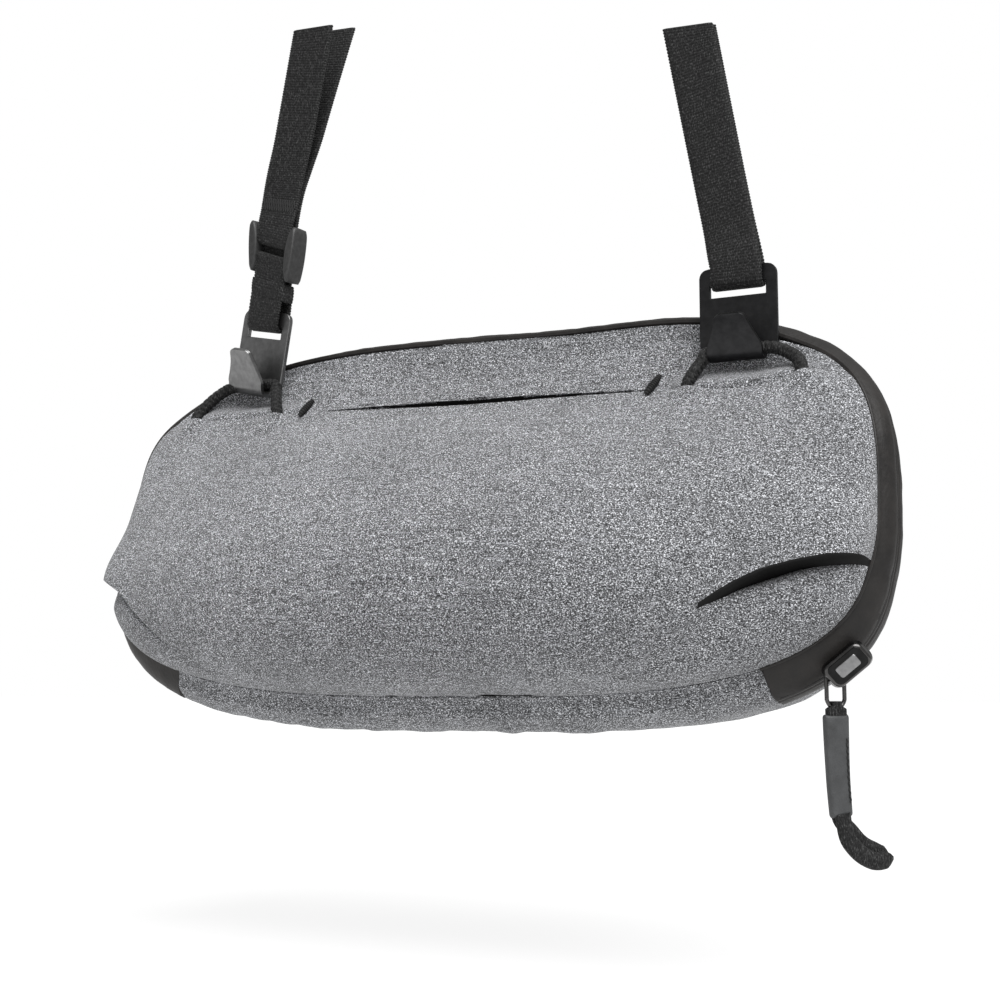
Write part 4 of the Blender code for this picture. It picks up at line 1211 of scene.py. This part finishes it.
def make_pull(place):
    space = pull_space(place)
    pieces = []
    # The tape: a narrow loop round the ring that widens into the sleeve.
    tape = resampled(np.array([(0, 0, 2.2), (0, 0, 0.6), (0, 0, -0.6), (0, 0, -1.6), (0, 0, -3.4)]), 0.2)
    share = smooth(0.9, -0.4, tape[:, 2])
    pieces.append(flat_tube(
        "pull_tape", tape, 1.7 + 1.95 * share, 1.65 - 0.35 * share, RIBBED, space, 24, 0.5, 0.06))
    sleeve = resampled(np.array([(-0.2, 0, -2.0), (-0.1, 0, -12.6), (0.2, 0, -23.6), (0.9, 0, -34.3)]), 0.5)
    n = len(sleeve)
    ends = np.minimum(np.arange(n), np.arange(n)[::-1]) * 0.5
    round_end = np.sqrt(np.clip(ends / 0.7, 0.05, 1))
    dent = 1 + 0.035 * np.sin(np.linspace(0, 9, n))
    taper = np.linspace(4.45, 3.8, n)
    pieces.append(flat_tube(
        "pull_sleeve", sleeve, taper * (0.95 + 0.05 * round_end), 1.75 * round_end * dent, LEATHER, space))
    rows = [i for i in range(n) if -30.0 < sleeve[i][2] < -9.5][::2]
    row = [(sleeve[i][0] + 2.7 + 0.35 * (k % 2), -1.72 * dent[i], sleeve[i][2])
           for k, i in enumerate(rows)]
    pieces.append(tube("sleeve_stitches", resampled(np.array(row), 0.3), 0.3, THREAD, space, 6))
    # The finger loop: two layers of webbing, folded together and bent aside, with a rounded tip.
    loop = resampled(np.array([
        (0.8, 0, -33.1), (1.3, 0, -35.5), (3.2, 0, -39.3), (5.9, 0, -42.7), (9.2, 0, -45.3),
        (13.6, 0, -47.0), (19.0, 0, -47.4),
    ]), RIB / 4)
    t = np.linspace(0, 1, len(loop))
    side = beside(loop)
    tip = np.sqrt(np.clip((1.0 - t) / 0.12, 0.06, 1))
    part = 1.7 * smooth(0.02, 0.35, t) * (1 - 0.85 * smooth(0.7, 1.0, t))
    width = (2.7 + 0.15 * smooth(0.0, 0.5, t)) * tip
    for name, hand in (("finger_loop_front", -1), ("finger_loop_back", 1)):
        path = loop + side * (hand * part)[:, None] + np.array([0, 1.15 * hand, 0])
        depth = (1.15 + 0.35 * smooth(0.1, 0.8, t)) * tip
        pieces.append(flat_tube(name, path, width, depth, RIBBED, space, 32, 0.75, 0.1))
    return pieces


# ---------------------------------------------------------------- hooks


def make_hook(name, side, material):
    """A bent sheet: a plate with rounded corners and a slot, and a tongue that tapers upwards."""
    rows = []
    corner, width, top = 3.4, 28.5, 31.0
    for drop in (0.0, 0.35, 1.0, 2.0, 3.4):
        inset = corner - math.sqrt(max(corner**2 - (corner - drop) ** 2, 0.0))
        rows.append((PLATE_Y, top - drop, width - 2 * inset))
    rows += [(PLATE_Y, z, width) for z in (26.2, 24.9, 24.0, 21.0, 20.1, 18.6, 14.0, 9.0, 4.5, 2.6)]
    rows += [(PLATE_Y, 1.6, width - 1.2), (PLATE_Y, 0.9, width - 4.6), (PLATE_Y, 0.4, 20.4)]
    for degrees in range(0, 181, 20):
        angle = math.radians(degrees)
        rows.append((PLATE_Y * math.cos(angle), -PLATE_Y * math.sin(angle), 20.0))
    rows += [
        (-3.8, 1.2, 19.3), (-4.7, 3.2, 17.2), (-5.9, 5.4, 14.8), (-7.2, 7.5, 12.8),
        (-8.4, 9.1, 11.6), (-9.2, 10.1, 10.8), (-9.6, 10.6, 9.6), (-9.9, 11.0, 7.6),
    ]
    if side < 0:
        rows[-8:] = [(TONGUE_REACH * y, TONGUE_HEIGHT * z, TONGUE_WIDTH * w) for y, z, w in rows[-8:]]
    shares = (-1, -0.96, -0.88, -0.8, -0.72, -0.66, -0.5, -0.25, 0, 0.25, 0.5, 0.66, 0.72, 0.8,
              0.88, 0.96, 1)
    verts, faces = [], []
    for y, z, w in rows:
        verts += [(side * HOOK_X + w * s / 2, y, z) for s in shares]
    columns = len(shares)
    for r in range(len(rows) - 1):
        for c in range(columns - 1):
            if 20.5 < (rows[r][1] + rows[r + 1][1]) / 2 < 24.6 and rows[r][0] == PLATE_Y:
                if r < 12 and -0.73 < (shares[c] + shares[c + 1]) / 2 < 0.73:
                    continue
            a, b = r * columns + c, (r + 1) * columns + c
            faces.append((a, b, b + 1, a + 1))
    if side < 0:
        verts = turned(verts)
    obj = plain_object(name, verts, faces, material, IN_HANG)
    add_modifier(obj, "SOLIDIFY", thickness=0.0018, offset=0.0, use_even_offset=True,
                 edge_crease_rim=0.35, edge_crease_inner=0.55, edge_crease_outer=0.55)
    add_modifier(obj, "SUBSURF", levels=2, render_levels=2)
    bake(obj)
    bm = bmesh.new()
    bm.from_mesh(obj.data)
    bmesh.ops.recalc_face_normals(bm, faces=bm.faces)
    bm.to_mesh(obj.data)
    bm.free()
    obj.data.shade_smooth()
    return obj


# ---------------------------------------------------------------- straps


def turned(points):
    """The left hook hangs turned and a little high, and the strap above it takes that up."""
    points = np.asarray(points, float)
    x, y, z = points[..., 0], points[..., 1], points[..., 2]
    top_x, top_z = STRAP_TOPS["left"]
    middle = -HOOK_X + (top_x + HOOK_X) * np.maximum(z - PLATE_TOP, 0.0) / (top_z - PLATE_TOP)
    twist = smooth(100.0, 42.0, z)
    c, n = np.cos(HOOK_TURN * twist), np.sin(HOOK_TURN * twist)
    across, deep = (x - middle) * c - y * n, (x - middle) * n + y * c
    # The plate is in line with its strap: its top is to the right of its seat and in front of it.
    rise = np.minimum(z, PLATE_TOP) - 3.0
    fade = smooth(100.0, PLATE_TOP, z)
    c, n = np.cos(HOOK_PITCH * twist), np.sin(HOOK_PITCH * twist)
    front, up = deep * c, deep * n
    forward, lost = -rise * math.sin(HOOK_PITCH) * fade, rise * (math.cos(HOOK_PITCH) - 1) * fade
    c, n = np.cos(HOOK_ROLL * twist), np.sin(HOOK_ROLL * twist)
    aside, down = across * c + up * n, up * c - across * n
    aside = aside + (rise + lost) * math.sin(HOOK_ROLL) * fade
    lost = lost + (rise + lost) * (math.cos(HOOK_ROLL) - 1) * fade
    share = smooth(112.0, 60.0, z)
    high = z + down + lost + share * (HOOK_RAISE + 1.4 * smooth(PLATE_TOP, 40.0, z))
    return np.stack([middle + aside + HOOK_SHIFT * share, front + forward, high], axis=-1)


def strap_section(side, y, z):
    """The webbing's centre and its direction across (X and Z), at a height above the seats."""
    top_x, top_z = STRAP_TOPS[side]
    hook_x = math.copysign(HOOK_X, top_x)
    lean = math.atan2(top_x - hook_x, top_z - PLATE_TOP) * float(smooth(28.0, 46.0, z))
    x = hook_x + (top_x - hook_x) * max(z - PLATE_TOP, 0.0) / (top_z - PLATE_TOP)
    return np.array([x, y, z, math.cos(lean), -math.sin(lean)])


def webbing(name, side, path):
    """Ribbed webbing along (y, z) points. Its ribs are in the mesh, and its edges are scalloped."""
    line = resampled(np.array([(y, z, 0.0) for y, z in path]), RIB / 4)
    sections = np.array([strap_section(side, y, z) for y, z, _ in line])
    centre = sections[:, :3]
    ahead = headings(centre)
    across = np.stack([sections[:, 3], np.zeros(len(line)), sections[:, 4]], axis=1)
    normal = unit(np.cross(across, ahead))
    ribs = np.abs(np.sin(np.arange(len(line)) / 4 * math.pi))
    columns = np.linspace(-1, 1, 15) * (1 - 0.012)
    profile = [(c, face) for face in (1, -1) for c in columns[::face]]
    level = np.array([0.05, -0.107, 0.993])
    top_z = STRAP_TOPS[side][1]
    rows = []
    for i in range(len(line)):
        swell = WEBBING_THICK / 2 + RIB_HEIGHT * (ribs[i] - 0.5)
        half = WEBBING_WIDTH / 2 + 0.28 * (ribs[i] - 0.6)
        # The upper ends are cut level, not square to the strap.
        cut = float(smooth(top_z - 14.0, top_z, centre[i][2]))
        slope = -cut * (across[i] @ level) / (ahead[i] @ level)
        ring = []
        for c, face in profile:
            edge = 1 - 0.55 * smooth(0.93, 1.0, abs(c))
            slant = ahead[i] * c * half * slope
            ring.append(centre[i] + across[i] * c * half + slant + normal[i] * face * swell * edge)
        rows.append(ring)
    return loft(name, turned(rows) if side == "left" else rows, RIBBED, IN_HANG, sharp=75)


def slot_turn():
    """The webbing's bend through the hook's slot, from the front to the rear."""
    turns = [math.radians(d) for d in range(0, 181, 30)]
    return [(PLATE_Y - SLOT_Y * math.cos(a), SLOT_LOW + 2.8 * (1 - math.sin(a))) for a in turns]


def rear_run(side, leave, away_most):
    """The rear layer, which parts from the front one above a height."""
    top_z = STRAP_TOPS[side][1]
    made = [(PLATE_Y + SLOT_Y, PLATE_TOP), (PLATE_Y + 2.7, 35.0), (PLATE_Y + 1.2, 46.0)]
    for z in np.linspace(leave, top_z + away_most * 0.4, 6):
        away = ((z - leave) / (top_z - leave)) ** 1.2
        made.append((PLATE_Y + 1.0 + away_most * away, z))
    return made


def make_right_strap():
    top_z = STRAP_TOPS["right"][1]
    front = [(PLATE_Y - 1.0, z) for z in (top_z, 100.0, 80.0, 60.0, 46.0)]
    front += [(PLATE_Y - 2.7, 35.0), (PLATE_Y - SLOT_Y, PLATE_TOP)]
    return webbing("strap_right", "right", front + slot_turn() + rear_run("right", 60.0, 2.5))


def make_left_strap():
    """The left strap: each layer's folded end turns round a bar of the tri-glide."""
    top_z = STRAP_TOPS["left"][1]
    before = [(1.2, z) for z in (top_z, 120.0, 95.0, 76.0)]
    before += [(2.0, 68.0), (2.6, 62.0), (2.7, 58.4), (1.9, 57.2), (0.8, 57.6)]
    upper = [(PLATE_Y - y, z) for y, z in before]
    before = [(0.9, 52.4), (2.0, 52.8), (2.7, 51.4), (2.3, 47.5), (2.3, 41.0), (2.8, 35.0)]
    lower = [(PLATE_Y - y, z) for y, z in before + [(SLOT_Y, PLATE_TOP)]]
    lower += slot_turn() + rear_run("left", 78.0, 13.0)
    return [webbing("strap_left_upper", "left", upper), webbing("strap_left_lower", "left", lower)]


def strap_local(z):
    """The left strap's own space at a height: X across it, Y to the rear and Z along it."""
    section = strap_section("left", PLATE_Y, z)
    across = Vector((section[3], 0, section[4]))
    along = Vector((-across.z, 0, across.x))
    matrix = Matrix((across, Vector((0, 1, 0)), along)).transposed().to_4x4()
    matrix.translation = Vector(section[:3])
    return matrix


def turn_left(piece):
    """Turns a finished left strap piece with its strap."""
    for obj in piece if isinstance(piece, list) else [piece]:
        points = np.array([v.co for v in obj.data.vertices]) * 1000 + np.array([0, 0, HOOK_DROP])
        for vertex, point in zip(obj.data.vertices, spread(turned(points), IN_HANG)):
            vertex.co = point
    return piece


def make_strap_stitches():
    """The box of stitches that holds the left strap's folded end."""
    place = IN_HANG @ strap_local(STITCHES_AT)
    points = []
    for i in range(58):
        x = -8.6 + 17.2 * (i % 29) / 28
        z = (1.9 if i % 2 else -1.6) + (2.2 if i < 29 else 0)
        points.append((x if i < 29 else -x, -2.15, z))
    return tube("strap_stitches", resampled(np.array(points), 0.35), 0.3, THREAD, place, 6)


def make_keeper():
    """The folded webbing end that wraps both layers above the left hook."""
    place = IN_HANG @ strap_local(KEEPER_AT)
    rows = []
    for z in np.linspace(3.2, -3.2, 25):
        swell = 0.22 * abs(math.sin(math.pi * z / RIB)) + 0.55 * math.sqrt(max(1 - (z / 3.3) ** 2, 0))
        ring = []
        for degrees in range(0, 360, 6):
            angle = math.radians(degrees)
            x = (9.9 + swell * 0.5) * rounded(math.cos(angle), 0.25)
            y = (3.3 + swell) * rounded(math.sin(angle), 0.45)
            ring.append((x, y, z))
        rows.append(ring)
    return sheet("strap_keeper", np.array(rows), 0.9, RIBBED, place, centre=(0, 0, 0), wrap=True)


def make_glide():
    """The tri-glide: two leaf-shaped rails joined by bars that the webbing covers."""
    place = IN_HANG @ strap_local(GLIDE_AT)
    pieces = []
    outline = resampled(np.array([
        (0.4, 0, 0.2), (-1.2, 0, 4.0), (-1.8, 0, 11.6), (-1.0, 0, 19.0), (0.9, 0, 23.0), (2.6, 0, 22.0),
        (3.0, 0, 15.0), (2.7, 0, 8.0), (1.6, 0, 1.0), (0.4, 0, 0.2),
    ]), 0.8)[:-1]
    middle = outline.mean(axis=0)
    for side, name in ((1, "glide_rail_right"), (-1, "glide_rail_left")):
        rings = []
        for y, inset in ((-4.3, 0.3), (-4.1, 0.12), (-3.4, 0.02), (0.0, 0.0), (3.4, 0.02), (4.0, 0.12),
                         (4.2, 0.3)):
            ring = outline + (middle - outline) * inset
            x = side * (10.2 + ring[:, 0] * 0.95)
            rings.append(np.stack([x, np.full(len(ring), y), ring[:, 2]], axis=1))
        pieces.append(loft(name, rings, PLASTIC, place))
    for name, z in (("glide_bar_low", 7.6), ("glide_bar_high", 14.8)):
        path = resampled(np.array([(-10.5, -1.1, z), (0, -1.1, z), (10.5, -1.1, z)]), 1.5)
        pieces.append(tube(name, path, 0.75, PLASTIC, place, 10))
    return pieces


# ---------------------------------------------------------------- assembly


def settle(piece, body, slot, *nodes):
    for obj in piece if isinstance(piece, (list, tuple)) else [piece]:
        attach(obj, body)
        if nodes:
            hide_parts(*nodes)
    return piece


settle(make_front_cover(), "front_shell", "grey_fabric", "front_panel")
settle(make_upper_cover(), "front_shell", "grey_fabric", "upper_panel")
settle(make_seam_cord(), "front_shell", "coated_tape")
settle(make_pocket_padding(), "front_shell", "lining", "pocket_backing")
settle(make_front_wall(), "front_shell", "foam", "front_wall_pad")
settle(make_band("band_front", True), "front_shell", "coated_tape", "zip_flap")
settle(make_band_stitches(), "front_shell", "thread")
settle(make_coil("coil_front", BAND_RUN - 1.2, 1), "front_shell", "zip_coil", "zip_coil_front")
settle(make_cord("cord_right", 1), "front_shell", "cord", "cord_loop_right")
settle(make_cord("cord_left", -1), "front_shell", "cord", "cord_loop_left")
settle(make_tack("tack_right", 71.5, 4.4), "front_shell", "thread", "bar_tack_right")
settle(make_tack("tack_left", -73.5, 4.0), "front_shell", "thread", "bar_tack_left")

gusset = make_gusset()
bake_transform(gusset)
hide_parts("gusset_front", "gusset_rear")

settle(make_band("band_rear", False), "rear_shell", "coated_tape", "zip_tape_rear")
settle(make_coil("coil_rear", BAND_RUN + 1.5, -1), "rear_shell", "zip_coil", "zip_coil_rear")
settle(make_rear_cover(), "rear_shell", "grey_fabric", "rear_panel")
settle(make_rear_padding(), "rear_shell", "foam", "rear_foam")
settle(make_tray_lining(), "rear_shell", "lining", "rear_lining")
net, hem = make_card_pocket()
settle(net, "rear_shell", "mesh_fabric", "mesh_pocket")
settle(hem, "rear_shell", "webbing")
settle(make_divider("divider_pad_left", -48.0), "rear_shell", "lining", "divider_left")
settle(make_divider("divider_pad_right", 48.0), "rear_shell", "lining", "divider_right")

slider_local = slider_frame()
slider_parts, cap_parts = make_slider(IN_BAG @ slider_local)
settle(slider_parts, "slider", "slider_metal", "slider_body")
settle(cap_parts, "slider", "slider_metal", "slider_cap")
ring_at = IN_HANG @ Matrix.Translation(
    Matrix.Rotation(BAG_PITCH, 3, "X") @ (slider_local @ Vector((-6.2, 0.0, 6.5))))
settle(make_ring(ring_at), "ring", "slider_metal", "pull_ring")
tape, sleeve, sleeve_row, *fingers = make_pull(ring_at)
settle(tape, "pull", "webbing", "pull_bail")
settle([sleeve, sleeve_row], "pull", "pull_leather", "pull_sheath")
settle(fingers, "pull", "webbing", "pull_loop")

# The left hook takes the lighter copy of the metal: painted reflection.
settle(make_hook("hook_plate_left", -1, HOOK_PAINTED_REFLECTION), "left_hook", "hook_metal", "hook_left")
settle(make_hook("hook_plate_right", 1, HOOK_DARK), "right_hook", "hook_metal", "hook_right")
settle(make_right_strap(), "strap", "webbing", "webbing_right")
settle(make_left_strap(), "strap", "webbing", "webbing_left")
settle(turn_left(make_strap_stitches()), "strap", "thread")
settle(turn_left(make_keeper()), "strap", "webbing", "webbing_keeper")
settle(turn_left(make_glide()), "adjuster", "adjuster_plastic", "strap_adjuster")

for node in ("zip_stop_left", "zip_stop_right"):
    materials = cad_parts[node].data.materials
    materials.clear()
    materials.append(GUNMETAL)


# ---------------------------------------------------------------- stage, light and camera


def make_floor():
    size = 6.0
    corners = [(x * size, y * size, FLOOR_Z) for x, y in ((-1, -1), (1, -1), (1, 1), (-1, 1))]
    s = Shader("pale_floor", 0.95, Specular_IOR_Level=0.0, Emission_Color=(1.0, 1.0, 1.0, 1.0))
    s.colour((0.25, 0.25, 0.25))
    s.out.inputs["Emission Strength"].default_value = 0.78
    plain_object("floor", corners, [(0, 1, 2, 3)], s.material, Matrix.Identity(4))


def add_sun(name, source, spread_angle, strength):
    data = bpy.data.lights.new(name, "SUN")
    data.angle = math.radians(spread_angle)
    data.energy = strength
    light = linked(name, data)
    light.rotation_euler = (-Vector(source)).to_track_quat("-Z", "Y").to_euler()


DOME = 0.42


def make_world():
    world = bpy.data.worlds.new("white_room")
    bpy.context.scene.world = world
    world.use_nodes = True
    nodes, links = world.node_tree.nodes, world.node_tree.links
    nodes["Background"].inputs["Color"].default_value = (1.0, 1.0, 1.0, 1.0)
    seen = nodes.new("ShaderNodeLightPath").outputs["Is Camera Ray"]
    strength = nodes.new("ShaderNodeMapRange")
    strength.inputs["To Min"].default_value = DOME
    strength.inputs["To Max"].default_value = 1.0
    links.new(seen, strength.inputs["Value"])
    links.new(strength.outputs[0], nodes["Background"].inputs["Strength"])
    bpy.context.scene.view_settings.view_transform = "Standard"


def make_camera():
    data = bpy.data.cameras.new("camera")
    data.lens = 54.0
    data.sensor_width = 36.0
    camera = linked("camera", data)
    camera.location = (0.2460, -0.5089, -0.25005)
    aim = Vector((-0.4196, 0.8999, 0.1184))
    camera.rotation_euler = aim.to_track_quat("-Z", "Y").to_euler()
    bpy.context.scene.camera = camera


make_floor()
make_world()
add_sun("key", (0.41, -0.41, 0.8), 50.0, 3.9)
make_camera()
